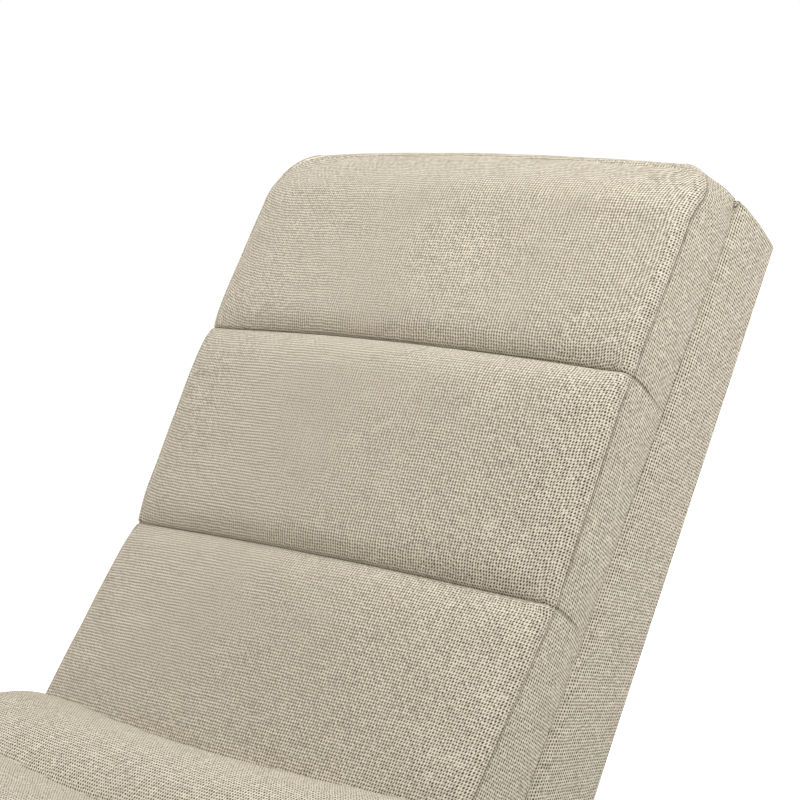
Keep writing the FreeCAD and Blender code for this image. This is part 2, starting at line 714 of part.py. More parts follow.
def beside(start, end, share, rise):
    """A point at a share of the way from start to end, moved out to the right of the way by rise."""
    run = (end[0] - start[0], end[1] - start[1])
    length = math.hypot(*run)
    return (
        start[0] + share * run[0] + run[1] * rise / length,
        start[1] + share * run[1] - run[0] * rise / length,
    )


def levelling_rise(run, climb):
    """Rise in the middle of an arc that climbs over a run and ends level."""
    return math.hypot(run, climb) / 2 * math.tan(math.atan2(climb, run) / 2)


def full_channel(upper, lower, bulge):
    """Two arcs from the upper to the lower seam of a back channel that meet in its crest."""
    share = value("Sizes.bulge_crest")
    length = math.dist(upper, lower)
    crest = beside(upper, lower, share, bulge)
    return [
        (upper, levelling_rise(share * length, bulge)),
        (crest, levelling_rise((1 - share) * length, bulge)),
    ]


def closed_wire(across, steps):
    """A closed wire at one place across the chaise from lines and arcs, each step a corner and a rise."""
    edges = []
    for number, (start, rise) in enumerate(steps):
        end = steps[(number + 1) % len(steps)][0]
        first = Vector(across, *start)
        last = Vector(across, *end)
        if rise:
            edges.append(Part.Arc(first, Vector(across, *beside(start, end, 0.5, rise)), last).toShape())
        else:
            edges.append(Part.makeLine(first, last))
    return Part.Wire(edges)


def back_outline(edge, middle, fullness):
    """Corners of the back pad in the frame of the back."""
    draw = value("Sizes.edge_draw") * edge
    face = draw - value("Sizes.back_pad") - value("Sizes.back_crown") * middle
    top = value("Derived.pad_top") - value("Sizes.corner_drop") * edge
    bulge = value("Sizes.back_bulge") * fullness
    seams = [
        (face, top - corner),
        (face, value("Derived.upper_seam")),
        (face, value("Sizes.lumbar_run")),
        from_deck(draw - value("Sizes.seat_start"), value("Sizes.seat_pad")),
    ]
    steps = [((0, 0), 0), ((0, top), 0), ((face + corner, top), corner_rise)]
    for upper, lower in zip(seams, seams[1:]):
        steps += full_channel(upper, lower, bulge)
    steps += [(seams[-1], 0), (from_deck(draw - value("Sizes.lumbar_foot"), 0), 0)]
    return steps


def seat_outline(edge, middle, fullness):
    """Corners of the seat pad, measured from the junction and the deck."""
    pitch = value("Sizes.channel_pitch")
    start = value("Sizes.seat_start")
    foot = value("Sizes.lumbar_foot")
    level = value("Sizes.seat_pad") - value("Sizes.edge_draw") * edge - value("Sizes.seat_dip") * middle
    rear = -foot + (foot - start) * level / value("Sizes.seat_pad") - contact_gap
    front = value("Sizes.pad_margin") + value("Sizes.corner_drop") * edge - value("Derived.seat_run")
    bulge = value("Sizes.seat_bulge") * fullness
    steps = [((-foot - contact_gap, 0), 0), ((rear, level), bulge)]
    for number in range(1, int(value("Derived.channel_count"))):
        steps.append(((-start - number * pitch, level), bulge))
    steps += [((front + corner, level), corner_rise), ((front, level - corner), 0), ((front, 0), 0)]
    return steps


def lofted_pad(outline):
    """The pad from side to side, drawn in at its edges and fullest in the middle."""
    shoulder = value("Sizes.shoulder_inset")
    stations = [half_pad - share * shoulder for share in SHOULDER_STATIONS]
    stations += [share * half_pad for share in INNER_STATIONS]
    stations += [0] + [-across for across in reversed(stations)]
    wires = []
    for across in stations:
        edge = max(0, 1 - (half_pad - abs(across)) / shoulder) ** 2
        middle = 1 - (across / half_pad) ** 2
        fullness = 1 - (1 - value("Sizes.side_bulge")) * edge + MIDDLE_BULGE * middle
        wires.append(closed_wire(across, outline(edge, middle, fullness)))
    return Part.makeLoft(wires, True, True)


def foam_and_pad(name, loft, low, high, place):
    """The pad hollowed for its foam, and the foam, both brought to their place."""
    gap = Vector(foam_gap, foam_gap, foam_gap)
    size = high - low
    hollow = Part.makeBox(*(size + gap * 2), low - gap)
    pad = doc.addObject("Part::Feature", f"{name}_pad_cover")
    pad.Label = f"{name}_pad_cover"
    pad.Shape = loft.cut(hollow)
    pad.Placement = place
    foam = doc.addObject("Part::Feature", f"{name}_foam_core")
    foam.Label = f"{name}_foam_core"
    foam.Shape = Part.makeBox(*size, low)
    foam.Placement = place


margin = value("Sizes.foam_margin")
foam_side = value("Derived.half_width") - margin
foam_and_pad(
    "seat",
    lofted_pad(seat_outline),
    Vector(-foam_side, margin - value("Derived.seat_run"), 0),
    Vector(foam_side, -value("Sizes.lumbar_foot") - margin, value("Sizes.seat_foam")),
    Placement(Vector(0, value(JUNCTION), value("Derived.deck")), Rotation()),
)
foam_and_pad(
    "back",
    lofted_pad(back_outline),
    Vector(-foam_side, -value("Sizes.back_foam"), margin),
    Vector(foam_side, 0, value("Derived.pad_top") - margin),
    back_place(),
)

# Sub-parts to write

SUB_PARTS = (
    "seat_front_rail", "seat_rear_rail", "seat_side_rail_left", "seat_side_rail_right",
    "seat_cross_rail_front", "seat_cross_rail_rear", "leg_blocks", "joint_screws",
    "back_bolts", "bolt_washers", "tee_nuts",
    "back_stile_left", "back_stile_right", "back_top_rail", "back_middle_rail",
    "back_lumbar_rail", "back_bottom_rail", "back_panel_board",
    "seat_webbing", "back_webbing", "seat_foam_core", "back_foam_core",
    "seat_pad_cover", "back_pad_cover",
    "seat_front_cover", "seat_side_cover_left", "seat_side_cover_right",
    "back_side_cover_left", "back_side_cover_right", "back_top_cover", "outside_back_cover",
    "dust_cover", "leg_front_left", "leg_front_right", "leg_rear_left", "leg_rear_right",
    "leg_plates", "leg_plate_screws", "leg_studs", "leg_glides",
)

doc.recompute()
for piece in doc.Objects:
    if "Invalid" in piece.State or "Error" in piece.State:
        raise RuntimeError(f"{piece.Label} did not build: {piece.State}")
os.makedirs("parts", exist_ok=True)
for label in SUB_PARTS:
    piece = doc.getObjectsByLabel(label)[0]
    if piece.Shape.isNull() or not piece.Shape.isValid():
        raise RuntimeError(f"{label} has no valid shape")
    piece.Shape.exportStep(os.path.join("parts", label + ".step"))
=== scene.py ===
import json
import math

import bmesh
import bpy
import numpy as np
from bpy.props import FloatProperty, FloatVectorProperty, PointerProperty
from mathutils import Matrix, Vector


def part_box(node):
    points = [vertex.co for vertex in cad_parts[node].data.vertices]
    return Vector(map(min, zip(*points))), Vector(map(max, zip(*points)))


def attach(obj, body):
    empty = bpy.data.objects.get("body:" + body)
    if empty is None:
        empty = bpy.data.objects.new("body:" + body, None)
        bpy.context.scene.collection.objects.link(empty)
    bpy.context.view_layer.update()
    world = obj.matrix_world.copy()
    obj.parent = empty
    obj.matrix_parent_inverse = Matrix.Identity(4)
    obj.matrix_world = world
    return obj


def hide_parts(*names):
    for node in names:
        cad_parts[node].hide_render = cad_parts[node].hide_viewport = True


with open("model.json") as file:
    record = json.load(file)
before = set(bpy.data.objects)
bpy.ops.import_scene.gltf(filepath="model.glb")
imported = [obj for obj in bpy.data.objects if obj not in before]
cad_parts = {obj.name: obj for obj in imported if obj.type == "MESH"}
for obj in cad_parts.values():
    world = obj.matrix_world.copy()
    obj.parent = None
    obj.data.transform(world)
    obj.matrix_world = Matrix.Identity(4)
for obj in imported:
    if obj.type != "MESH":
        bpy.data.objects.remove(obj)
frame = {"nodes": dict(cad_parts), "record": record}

bl_info = {
    "name": "Channelled chaise longue",
    "version": (1, 0, 0),
    "blender": (4, 5, 0),
    "location": "View3D > Sidebar > Chaise",
    "description": "Upholsters the packed frame of a chaise longue with a channelled seat and back",
    "category": "Object",
}

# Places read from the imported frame, in metres

LEGS = ("leg_front_left", "leg_front_right", "leg_rear_left", "leg_rear_right")
seat_side_low, seat_side_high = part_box("seat_side_cover_right")
back_side_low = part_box("back_side_cover_right")[0]
seat_pad_low, seat_pad_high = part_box("seat_pad_cover")
HALF_WIDTH = seat_side_high.x
HALF_PAD = seat_pad_high.x
JUNCTION = seat_side_high.y
DECK = seat_side_high.z
UNDERSIDE = seat_side_low.z
FOOT_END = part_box("seat_front_cover")[0].y
SEAT_END = JUNCTION - seat_pad_low.y
LEAN = math.atan2(JUNCTION - back_side_low.y, DECK - UNDERSIDE)
SINE = math.sin(LEAN)
COSINE = math.cos(LEAN)


def on_back(across, depth, run):
    """Points of the back: across, out from the front of its frame, and up along it from the deck."""
    along = JUNCTION - depth * COSINE + run * SINE
    height = DECK + depth * SINE + run * COSINE
    return np.stack(np.broadcast_arrays(across, along, height), axis=-1)


def on_seat(across, depth, run):
    """Points of the seat: across, up from the deck, and from the junction towards the foot end."""
    return np.stack(np.broadcast_arrays(across, JUNCTION - run, DECK + depth), axis=-1)


def corners_of(node):
    """Corners of a node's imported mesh."""
    return [vertex.co for vertex in frame["nodes"][node].data.vertices]


def run_up_back(corner):
    """How far up a corner lies, along the back from the deck."""
    return (corner.y - JUNCTION) * SINE + (corner.z - DECK) * COSINE


def run_along_seat(corner):
    """How far a corner lies from the junction towards the foot end."""
    return JUNCTION - corner.y


def depth_behind(corner):
    """How far a corner lies behind the front of the back frame."""
    return (corner.y - JUNCTION) * COSINE - (corner.z - DECK) * SINE


FRAME_FOOT = min(map(run_up_back, corners_of("back_side_cover_right")))
BACK_BOTTOM_DEPTH = max(map(depth_behind, corners_of("back_side_cover_right")))
BACK_TOP_DEPTH = max(map(depth_behind, corners_of("back_top_cover")))


def back_depth_at(share):
    """Depth of the back frame at a share of the way up it."""
    return BACK_BOTTOM_DEPTH + (BACK_TOP_DEPTH - BACK_BOTTOM_DEPTH) * share


def length(name, description, default):
    """A property that holds a length in metres."""
    return FloatProperty(
        name=name, description=description, default=default, unit="LENGTH", subtype="DISTANCE")


def fraction(name, description, default):
    """A property that holds a share between 0 and 1."""
    return FloatProperty(name=name, description=description, default=default, min=0, max=1)


def colour(name, description, default):
    """A property that holds a colour."""
    return FloatVectorProperty(
        name=name, description=description, default=default, size=3, subtype="COLOR", min=0, max=1)


class PadSizes(bpy.types.PropertyGroup):
    """Sizes of the two channelled pads."""

    back_pitch: length("Back channel pitch", "Seam to seam on the back", 0.2224)
    seat_pitch: length("Seat channel pitch", "Seam to seam on the seat", 0.2024)
    lower_seam: length("Lower seam", "Deck to the lower seam of the back, along the back", 0.2597)
    back_end: length("Back end", "Deck to the top of the back pad, along the back", 0.710)
    first_seam: length("First seat seam", "Junction to the first seam of the seat", 0.170)
    seat_start: length("Seat start", "Junction to the rear of the seat pad", 0.049)
    lip_height: length("Lip height", "Deck to where the back pad turns under to meet the seat pad", 0.090)
    corner_fill: fraction("Corner fill", "How square a pad is at the frame", 0.65)
    lumbar_foot: length("Lumbar foot", "Thickness of the back pad on the deck", 0.128)
    seat_depth: length("Seat depth", "Deck to the first seam of the seat pad", 0.1035)
    seat_level: length("Seat level", "Deck to the other seams of the seat pad", 0.092)
    lower_depth: length("Lower seam depth", "Frame to the lower seam of the back pad", 0.0662)
    upper_depth: length("Upper seam depth", "Frame to the upper seam of the back pad", 0.0752)
    top_depth: length("Top depth", "Frame to the top edge of the back pad", 0.0709)
    top_fall: length("Top fall", "How far the face of the back pad rolls back at its top", 0.0145)
    rest: length("Rest", "Wadding of the frame under the rim of the back pad", 0.0037)
    back_crown: length("Back crown", "Extra thickness in the middle of the back pad", 0.016)
    seat_dip: length("Seat dip", "Sag in the middle of the first channel of the seat pad", 0.016)
    seat_sag: length("Seat sag", "Sag in the middle of its other channels", 0.010)
    seat_bow: length("Seat bow", "How far the first seam of the seat bows towards the foot end", 0.020)
    bulge: length("Bulge", "Rise of a channel over its seams", 0.016)
    edge_round: length("Edge round", "Rounding between a pad's face and its boxing", 0.010)
    corner_round: length("Corner round", "Rounding of a pad's outline at its corners", 0.042)
    side_swell: length("Side swell", "How far the boxing of a pad stands out", 0.0012)
    side_tuck: length("Side tuck", "How far the boxing is drawn in where it meets the frame", 0.0022)
    top_taper: length("Top taper", "How far the end of a pad falls from its face to the frame", 0.004)
    seam_width: length("Seam width", "Width of a sewn seam", 0.0016)
    seam_depth: length("Seam depth", "Depth of a sewn seam", 0.0012)
    valley: length("Valley", "How far a channel seam is drawn in between the sides", 0.0042)
    pucker: length("Pucker", "Height of the small gathers along a channel seam", 0.00022)


class CoverSizes(bpy.types.PropertyGroup):
    """Sizes of the covers of the frame and of the legs."""

    frame_end: length("Frame end", "Deck to the top of the covered back frame, along the back", 0.7035)
    frame_fall: length("Frame fall", "Fall of the top of the back frame from front to rear", 0.006)
    front_wadding: length("Front wadding", "Wadding on the front of the back frame", 0.0035)
    rear_wadding: length("Rear wadding", "Wadding on the rear of the back frame", 0.004)
    front_round: length("Front round", "Depth over which a covered frame rounds towards its pad", 0.014)
    front_draw: length("Front draw-in", "How far a covered frame is drawn in beside its pad", 0.0036)
    rear_round: length("Rear round", "Rounding of a covered frame away from its pad", 0.0028)
    corner_round: length("Corner round", "Rounding of the covered frame at its corners", 0.0042)
    turn_in: length("Turn-in", "Cloth turned round the edges of the frame", 0.016)
    swell: length("Swell", "How far the wadding stands out in the middle of a face", 0.0012)
    cloth: length("Cloth", "Thickness of the covering cloth", 0.0022)
    dust_sag: length("Dust cover sag", "Sag of the dust cover between the rails", 0.003)
    leg_round: length("Leg round", "Rounding of the edges of a leg", 0.004)


class Finish(bpy.types.PropertyGroup):
    """Colours and the scale of the weave."""

    thread: length("Thread", "From one thread of the upholstery cloth to the next", 0.003)
    thread_light: colour("Thread, light", "Raised threads of the cloth", (0.76, 0.695, 0.57))
    thread_mid: colour("Thread, middle", "Threads between", (0.462, 0.405, 0.317))
    # Painted shade: the dark put into the gaps between the threads, where shade falls in the weave
    thread_gap_shade: colour("Thread gap", "Gaps between the threads", (0.066, 0.046, 0.024))
    # Painted shade: the dark mixed into the cloth along the seams, where shade falls in their creases
    seam_painted_shade: colour("Seam", "Cloth in the depth of a seam", (0.12, 0.094, 0.06))
    leg_light: colour("Leg wood, light", "Early wood of the legs", (0.30, 0.165, 0.080))
    leg_dark: colour("Leg wood, dark", "Late wood of the legs", (0.165, 0.080, 0.036))
    pine_light: colour("Frame wood, light", "Early wood of the frame", (0.72, 0.52, 0.30))
    pine_dark: colour("Frame wood, dark", "Late wood of the frame", (0.52, 0.32, 0.15))


# Materials

THREAD_WANDER = 0.0024


class MaterialNodes:
    """The nodes of one new material, with short ways to add more."""

    def __init__(self, name):
        self.material = bpy.data.materials.new(name)
        self.material.use_nodes = True
        self.tree = self.material.node_tree
        self.shader = self.tree.nodes["Principled BSDF"]

    def put(self, node, inputs):
        """Links or sets the inputs of a node."""
        for socket, source in inputs.items():
            target = node.inputs[socket]
            if isinstance(source, bpy.types.NodeSocket):
                self.tree.links.new(source, target)
            else:
                target.default_value = source

    def add(self, kind, inputs, output=0, **settings):
        """One output of a new node."""
        node = self.tree.nodes.new(kind)
        for key, setting in settings.items():
            setattr(node, key, setting)
        self.put(node, inputs)
        return node.outputs[output]

    def math(self, operation, first, second=0.0, third=0.0):
        """A sum, product or the like of single values."""
        return self.add("ShaderNodeMath", {0: first, 1: second, 2: third}, operation=operation)

    def blend(self, value, factor, offset):
        """A value times a factor plus an offset."""
        return self.math("MULTIPLY_ADD", value, factor, offset)

    def vector(self, operation, first, second):
        """A sum, product or the like of vectors."""
        return self.add("ShaderNodeVectorMath", {0: first, 1: second}, operation=operation)

    def noise(self, place, output=0, **inputs):
        """Noise at a place."""
        named = {name.capitalize(): value for name, value in inputs.items()}
        return self.add("ShaderNodeTexNoise", {"Vector": place, **named}, output)

    def drawn_noise(self, place, stretch, **inputs):
        """Noise that is drawn out along the axes with a low stretch."""
        drawn = self.add("ShaderNodeMapping", {"Vector": place, "Scale": stretch})
        return self.noise(drawn, scale=1.0, **inputs)

    def ramp(self, factor, *stops):
        """A colour ramp with the given places and colours."""
        node = self.tree.nodes.new("ShaderNodeValToRGB")
        self.put(node, {"Fac": factor})
        elements = node.color_ramp.elements
        while len(elements) < len(stops):
            elements.new(0.5)
        for element, (place, rgb) in zip(elements, stops):
            element.position = place
            element.color = (*rgb, 1)
        return node.outputs["Color"]

    def shade(self, base, roughness, height, strength, distance):
        """Gives the shader its colour, its roughness and a relief."""
        relief = {"Height": height, "Strength": strength, "Distance": distance}
        bump = self.add("ShaderNodeBump", relief)
        self.put(self.shader, {"Base Color": base, "Roughness": roughness, "Normal": bump})
        return self.material


def thread_tone(nodes, place, finish):
    """Light and dark of a chunky weave with a gap at each crossing, uneven yarn and wandering threads; the
    dark of the gaps is painted shade.
    """
    thread = finish.thread
    wander = nodes.noise(place, "Color", scale=60.0, detail=2.0)
    centred = nodes.vector("SUBTRACT", wander, (0.5, 0.5, 0.5))
    moved = nodes.vector("ADD", place, nodes.vector("MULTIPLY", centred, [THREAD_WANDER] * 3))

    def per_thread(spot):
        cell = nodes.vector("SNAP", spot, [thread] * 3)
        return nodes.add("ShaderNodeTexWhiteNoise", {"Vector": cell}, "Value", noise_dimensions="3D")

    parts = [nodes.add("ShaderNodeSeparateXYZ", {0: moved}, axis) for axis in (0, 1)]
    across, along = [nodes.math("MULTIPLY", part, 2 * math.pi / thread) for part in parts]
    slant = nodes.blend(nodes.math("SINE", along), -0.6, across)
    warp, weft = [nodes.blend(nodes.math("COSINE", angle), 0.5, 0.5) for angle in (slant, along)]
    # The gaps at the crossings: low in the relief, and dark in the colour as painted shade
    gap = nodes.math("MULTIPLY", warp, nodes.blend(weft, 0.83, 0.17))
    diagonal = nodes.math("MULTIPLY", nodes.math("ADD", across, along), 0.5)
    alternate = nodes.blend(nodes.math("COSINE", diagonal), 0.25, 1.0)
    strength = per_thread(nodes.vector("ADD", moved, [thread / 2] * 3))
    depth = nodes.math("MULTIPLY", alternate, nodes.blend(strength, 0.6, 0.84))
    height = nodes.math("SUBTRACT", 1.0, nodes.math("MULTIPLY", gap, depth))
    streaks = [nodes.drawn_noise(place, stretch, detail=1.0) for stretch in ((330, 7, 1), (7, 330, 1))]
    streak = nodes.math("SUBTRACT", nodes.math("ADD", *streaks), 1.0)
    yarn = nodes.blend(per_thread(moved), 0.28, -0.14)
    uneven = nodes.math("ADD", nodes.math("MULTIPLY", streak, 0.1), yarn)
    return nodes.math("ADD", height, uneven)


def woven_cloth(name, finish):
    """Woven upholstery cloth with painted shade in its seams, on the cloth's own UV map in metres."""
    nodes = MaterialNodes(name)
    place = nodes.add("ShaderNodeUVMap", {}, "UV", uv_map="Cloth")
    tone = thread_tone(nodes, place, finish)
    stops = ((0.22, finish.thread_gap_shade), (0.66, finish.thread_mid), (1.0, finish.thread_light))
    cloth = nodes.ramp(tone, *stops)
    # Painted shade along the seams, read from the pads' points
    painted_seam_shade = nodes.add("ShaderNodeAttribute", {}, "Fac", attribute_name="painted_seam_shade")
    mixed = {"Factor": painted_seam_shade, 6: cloth, 7: (*finish.seam_painted_shade, 1)}
    base = nodes.add("ShaderNodeMix", mixed, 2, data_type="RGBA")
    fuzz = nodes.noise(place, scale=2600.0, detail=3.0)
    relief = nodes.math("ADD", tone, nodes.math("MULTIPLY", fuzz, 0.25))
    nodes.put(nodes.shader, {"Specular IOR Level": 0.18, "Sheen Weight": 0.1, "Sheen Roughness": 0.6})
    return nodes.shade(base, 0.93, relief, 0.7, 0.0008)


def grained_wood(name, light, dark, axis, ring_scale):
    """Straight-grained wood with rings along one axis of the object's own coordinates."""
    nodes = MaterialNodes(name)
    place = nodes.add("ShaderNodeTexCoord", {}, "Object")
    stretch = [ring_scale, ring_scale, ring_scale]
    stretch[axis] = ring_scale * 0.06
    rings = nodes.drawn_noise(place, stretch, detail=6.0, distortion=1.4)
    fibre = nodes.drawn_noise(place, [value * 14 for value in stretch], detail=3.0)
    tone = nodes.blend(fibre, 0.35, nodes.math("MULTIPLY", rings, 0.75))
    wood = nodes.ramp(tone, (0.38, dark), (0.62, light))
    return nodes.shade(wood, nodes.blend(fibre, 0.2, 0.36), fibre, 0.25, 0.0006)


def speckled(name, light, dark, scale, roughness, metallic=0.0, relief=0.0004):
    """A finish with fine mottling on the object's own coordinates."""
    nodes = MaterialNodes(name)
    place = nodes.add("ShaderNodeTexCoord", {}, "Object")
    grain = nodes.noise(place, scale=scale, detail=5.0, roughness=0.65)
    base = nodes.ramp(grain, (0.35, dark), (0.65, light))
    nodes.put(nodes.shader, {"Metallic": metallic})
    return nodes.shade(base, nodes.blend(grain, 0.2, roughness - 0.1), grain, 0.4, relief)


def strap_cloth(name):
    """Tight webbing with ribs along the strap, on its own UV map in metres."""
    nodes = MaterialNodes(name)
    place = nodes.add("ShaderNodeUVMap", {}, "UV", uv_map="Cloth")
    waves = []
    for axis, spacing in ((1, 0.002), (0, 0.0012)):
        part = nodes.add("ShaderNodeSeparateXYZ", {0: place}, axis)
        waves.append(nodes.math("SINE", nodes.math("MULTIPLY", part, math.pi / spacing)))
    crossing = nodes.blend(nodes.math("MULTIPLY", *waves), 0.5, 0.5)
    cloth = nodes.ramp(crossing, (0.2, (0.05, 0.045, 0.04)), (0.8, (0.16, 0.15, 0.14)))
    return nodes.shade(cloth, 0.85, crossing, 0.6, 0.0006)


# Mesh helpers

def finish_piece(piece, material, nodes):
    """Gives a new piece its material, its body and the nodes that it stands for."""
    piece.data.materials.clear()
    piece.data.materials.append(bpy.data.materials[material])
    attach(piece, "root")
    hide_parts(*nodes)


def mesh_piece(name, points, faces, uvs, painted_seam_shades=None):
    """An object from points, faces and one UV pair per point."""
    mesh = bpy.data.meshes.new(name)
    mesh.from_pydata([tuple(point) for point in points], [], faces)
    layer = mesh.uv_layers.new(name="Cloth")
    corners = np.zeros(len(mesh.loops), dtype=np.int32)
    mesh.loops.foreach_get("vertex_index", corners)
    layer.data.foreach_set("uv", np.asarray(uvs, dtype=np.float32)[corners].ravel())
    # Painted shade along the seams, one value per point
    if painted_seam_shades is not None:
        attribute = mesh.attributes.new("painted_seam_shade", "FLOAT", "POINT")
        attribute.data.foreach_set("value", np.asarray(painted_seam_shades, dtype=np.float32))
    mesh.polygons.foreach_set("use_smooth", [True] * len(mesh.polygons))
    mesh.update()
    piece = bpy.data.objects.new(name, mesh)
    bpy.context.scene.collection.objects.link(piece)
    return piece


def face_outwards(piece):
    """Turns all faces of a closed piece outwards."""
    shell = bmesh.new()
    shell.from_mesh(piece.data)
    bmesh.ops.recalc_face_normals(shell, faces=shell.faces)
    shell.to_mesh(piece.data)
    shell.free()


def only(piece):
    """Makes a piece the one that is selected and active."""
    bpy.ops.object.select_all(action="DESELECT")
    piece.select_set(True)
    bpy.context.view_layer.objects.active = piece


def edit_all(piece):
    """Opens a piece for editing with all of it selected."""
    only(piece)
    bpy.ops.object.mode_set(mode="EDIT")
    bpy.ops.mesh.select_all(action="SELECT")


def thicken(piece, thickness, offset=-1.0):
    """Gives a sheet its thickness."""
    only(piece)
    modifier = piece.modifiers.new("Thickness", "SOLIDIFY")
    modifier.thickness = thickness
    modifier.offset = offset
    bpy.ops.object.modifier_apply(modifier="Thickness")


def round_edges(piece, width, segments):
    """Rounds the sharp edges of a piece."""
    only(piece)
    rounding = piece.modifiers.new("Rounding", "BEVEL")
    rounding.width = width
    rounding.segments = segments
    rounding.limit_method = "ANGLE"
    bpy.ops.object.modifier_apply(modifier="Rounding")


def numbered(shape, start=0):
    """Point numbers in rows and columns."""
    return start + np.arange(shape[0] * shape[1]).reshape(shape)


def grid_faces(index, flip=False):
    """Quads between the rows and columns of an array of point numbers."""
    corners = [index[:-1, :-1], index[1:, :-1], index[1:, 1:], index[:-1, 1:]]
    quads = np.stack(corners, axis=-1).reshape(-1, 4)
    return [tuple(int(number) for number in (quad[::-1] if flip else quad)) for quad in quads]


def quarter(share):
    """Height of a quarter circle at a share of its run."""
    inside = np.clip(share, 0, 1)
    return np.sqrt(1 - (1 - inside) ** 2)


def smooth(share):
    """Eases from 0 to 1."""
    inside = np.clip(share, 0, 1)
    return inside * inside * (3 - 2 * inside)


# Channelled pads, lengths in metres

FULL_INSET = 0.06
PAD_GAP = 0.0005
PANEL_WRAP = 0.0008
SEAM_RUN = 0.055
SEAM_PULL = 0.09
SEAM_BEND = 0.009
SEAM_SINK = 0.0016
SEAM_HOLLOW = 0.0012
TOP_ROLL = 0.062
TOP_SKEW = 0.0018
UNEVEN = 0.00018
VALLEY_REACH = 0.011
COLUMNS = 180
ROWS_PER_CHANNEL = 56
CORNER_ROWS = 9
LEAST_CHANNEL = 0.01
LEAST_BOXING = 0.001
FULL_BOXING = 0.02
CLOTH_LINE = 0.006
BOXING_CUT = 0.7
ROUND_ANGLES = np.radians([10, 20, 30, 40, 50, 60, 70, 80, 90])
SEAM_STEPS = (-0.0004, -0.0002, 0.0, 0.0002, 0.0004, 0.0008)
SEAM_RING = len(ROUND_ANGLES) + 1 + SEAM_STEPS.index(0.0)
BOXING_SHARES = (0.06, 0.13, 0.22, 0.32, 0.43, 0.54, 0.64, 0.73, 0.81, 0.87, 0.92, 0.96, 1.0)
PUCKER_WAVES = ((0.0113, 0.4), (0.0171, 2.1), (0.0069, 4.4), (0.0287, 1.2))
PUCKER_REACH = (0.011, 0.006)
UNEVEN_WAVES = ((0.143, 0.097, 0.3), (0.087, 0.171, 1.9), (0.211, 0.061, 4.0))


class PadForm:
    """The shape of one channelled pad over the face that carries it."""

    valley_share = 1.0
    # How dark a seam is painted: painted shade in its crease
    seam_shade = 0.12

    def __init__(self, place, seams, start, end, sizes):
        self.place = place
        self.seams = seams
        self.start = start
        self.end = end
        self.sizes = sizes

    def thickness(self, across, run):
        """Base thickness, before the bulge of the channels."""
        raise NotImplementedError

    def rise(self, channel, share, across):
        """Rise of a channel, counted from the junction, from its far seam, 0, to its near one, 1."""
        raise NotImplementedError

    def drift(self, across, run):
        """How far the filling pushes the face along its run."""
        raise NotImplementedError

    def floor(self, run):
        """Depth of what carries the pad."""
        return np.zeros_like(run)

    def middle(self, across):
        """1 in the middle of the pad and 0 at its sides."""
        return 1 - (across / HALF_PAD) ** 2

    def inset(self, across):
        """Share of the way in from a side to where the channels are full."""
        return (HALF_PAD - self.sizes.edge_round - np.abs(across)) / FULL_INSET

    def side(self, across):
        """Share of the full rise, which is less towards the sides."""
        return 0.5 + 0.4 * quarter(self.inset(across)) + 0.2 * self.middle(across)

    def channels(self, across, run):
        """Rise of all channels."""
        bounds = [*self.seams, self.end - self.sizes.edge_round]
        total = np.zeros_like(run)
        for channel, (near, far) in enumerate(zip(bounds, bounds[1:])):
            share = (far - run) / (far - near)
            inside = (share >= 0) & (share <= 1)
            total = total + np.where(inside, self.rise(channel, share, across), 0)
        return total

    def drop(self, seam, across, run):
        """How far the face is drawn in along a seam, with a valley and small gathers."""
        sizes = self.sizes
        away = (run - seam) / sizes.seam_width
        valley = sizes.valley * quarter(self.inset(across))
        valley = valley * np.exp(-((run - seam) / VALLEY_REACH) ** 2)
        drawn = self.valley_share * (sizes.seam_depth * np.exp(-away ** 2) + valley)
        turns = 2 * math.pi * across
        gathers = sum(np.sin(turns / wave + phase + 31 * seam) for wave, phase in PUCKER_WAVES)
        reach = np.where(run < seam, *PUCKER_REACH)
        fade = np.exp(-((run - seam) / reach) ** 2) * (1 - np.exp(-(away / 1.5) ** 2))
        return drawn - sizes.pucker * gathers * fade

    def depth(self, across, run):
        """Depth of the face of the pad, with its channels, seams and unevenness."""
        depth = self.thickness(across, run) + self.channels(across, run)
        for seam in self.seams[1:]:
            depth = depth - self.drop(seam, across, run)
        for wave, cross, phase in UNEVEN_WAVES:
            turns = 2 * math.pi * (across / wave + run / cross)
            depth = depth + UNEVEN * np.sin(turns + phase)
        return depth


class BackForm(PadForm):
    """The back pad, thicker towards the loins and crowned across."""

    # Fullness of each channel and the share of it that is lost towards its near seam
    fullness = ((0.4, 0.4), (1.1, 0.55), (1.0, 0.4))

    def __init__(self, sizes):
        lower = sizes.lower_seam
        self.lip_run = sizes.lip_height * COSINE - sizes.seat_start * SINE
        self.lip_depth = sizes.lip_height * SINE + sizes.seat_start * COSINE
        self.tip_run = -sizes.lumbar_foot * SINE
        self.tip_depth = sizes.lumbar_foot * COSINE
        seams = [self.lip_run, lower, lower + sizes.back_pitch]
        super().__init__(on_back, seams, self.tip_run * 0.9, sizes.back_end, sizes)

    def thickness(self, across, run):
        sizes = self.sizes
        runs = [self.tip_run, self.lip_run, *self.seams[1:], self.end]
        depths = [self.tip_depth, self.lip_depth, sizes.lower_depth, sizes.upper_depth, sizes.top_depth]
        crown = sizes.back_crown * smooth((run - self.lip_run) / (sizes.lower_seam - self.lip_run))
        roll = sizes.top_fall * (1 - smooth((self.end - sizes.edge_round - run) / TOP_ROLL))
        return np.interp(run, runs, depths) + crown * self.middle(across) - roll

    def drift(self, across, run):
        last = self.seams[-1]
        return TOP_SKEW * across / HALF_PAD * smooth((run - last) / (self.end - last))

    def floor(self, run):
        return np.maximum(self.sizes.rest, -run * COSINE / SINE)

    def rise(self, channel, share, across):
        full, fade = self.fullness[channel]
        slope = 1 - fade * np.clip((share - 0.2) / 0.8, 0, 1)
        round_ends = quarter(share / 0.2) * quarter((1 - share) / 0.18)
        return self.sizes.bulge * self.side(across) * full * slope * round_ends


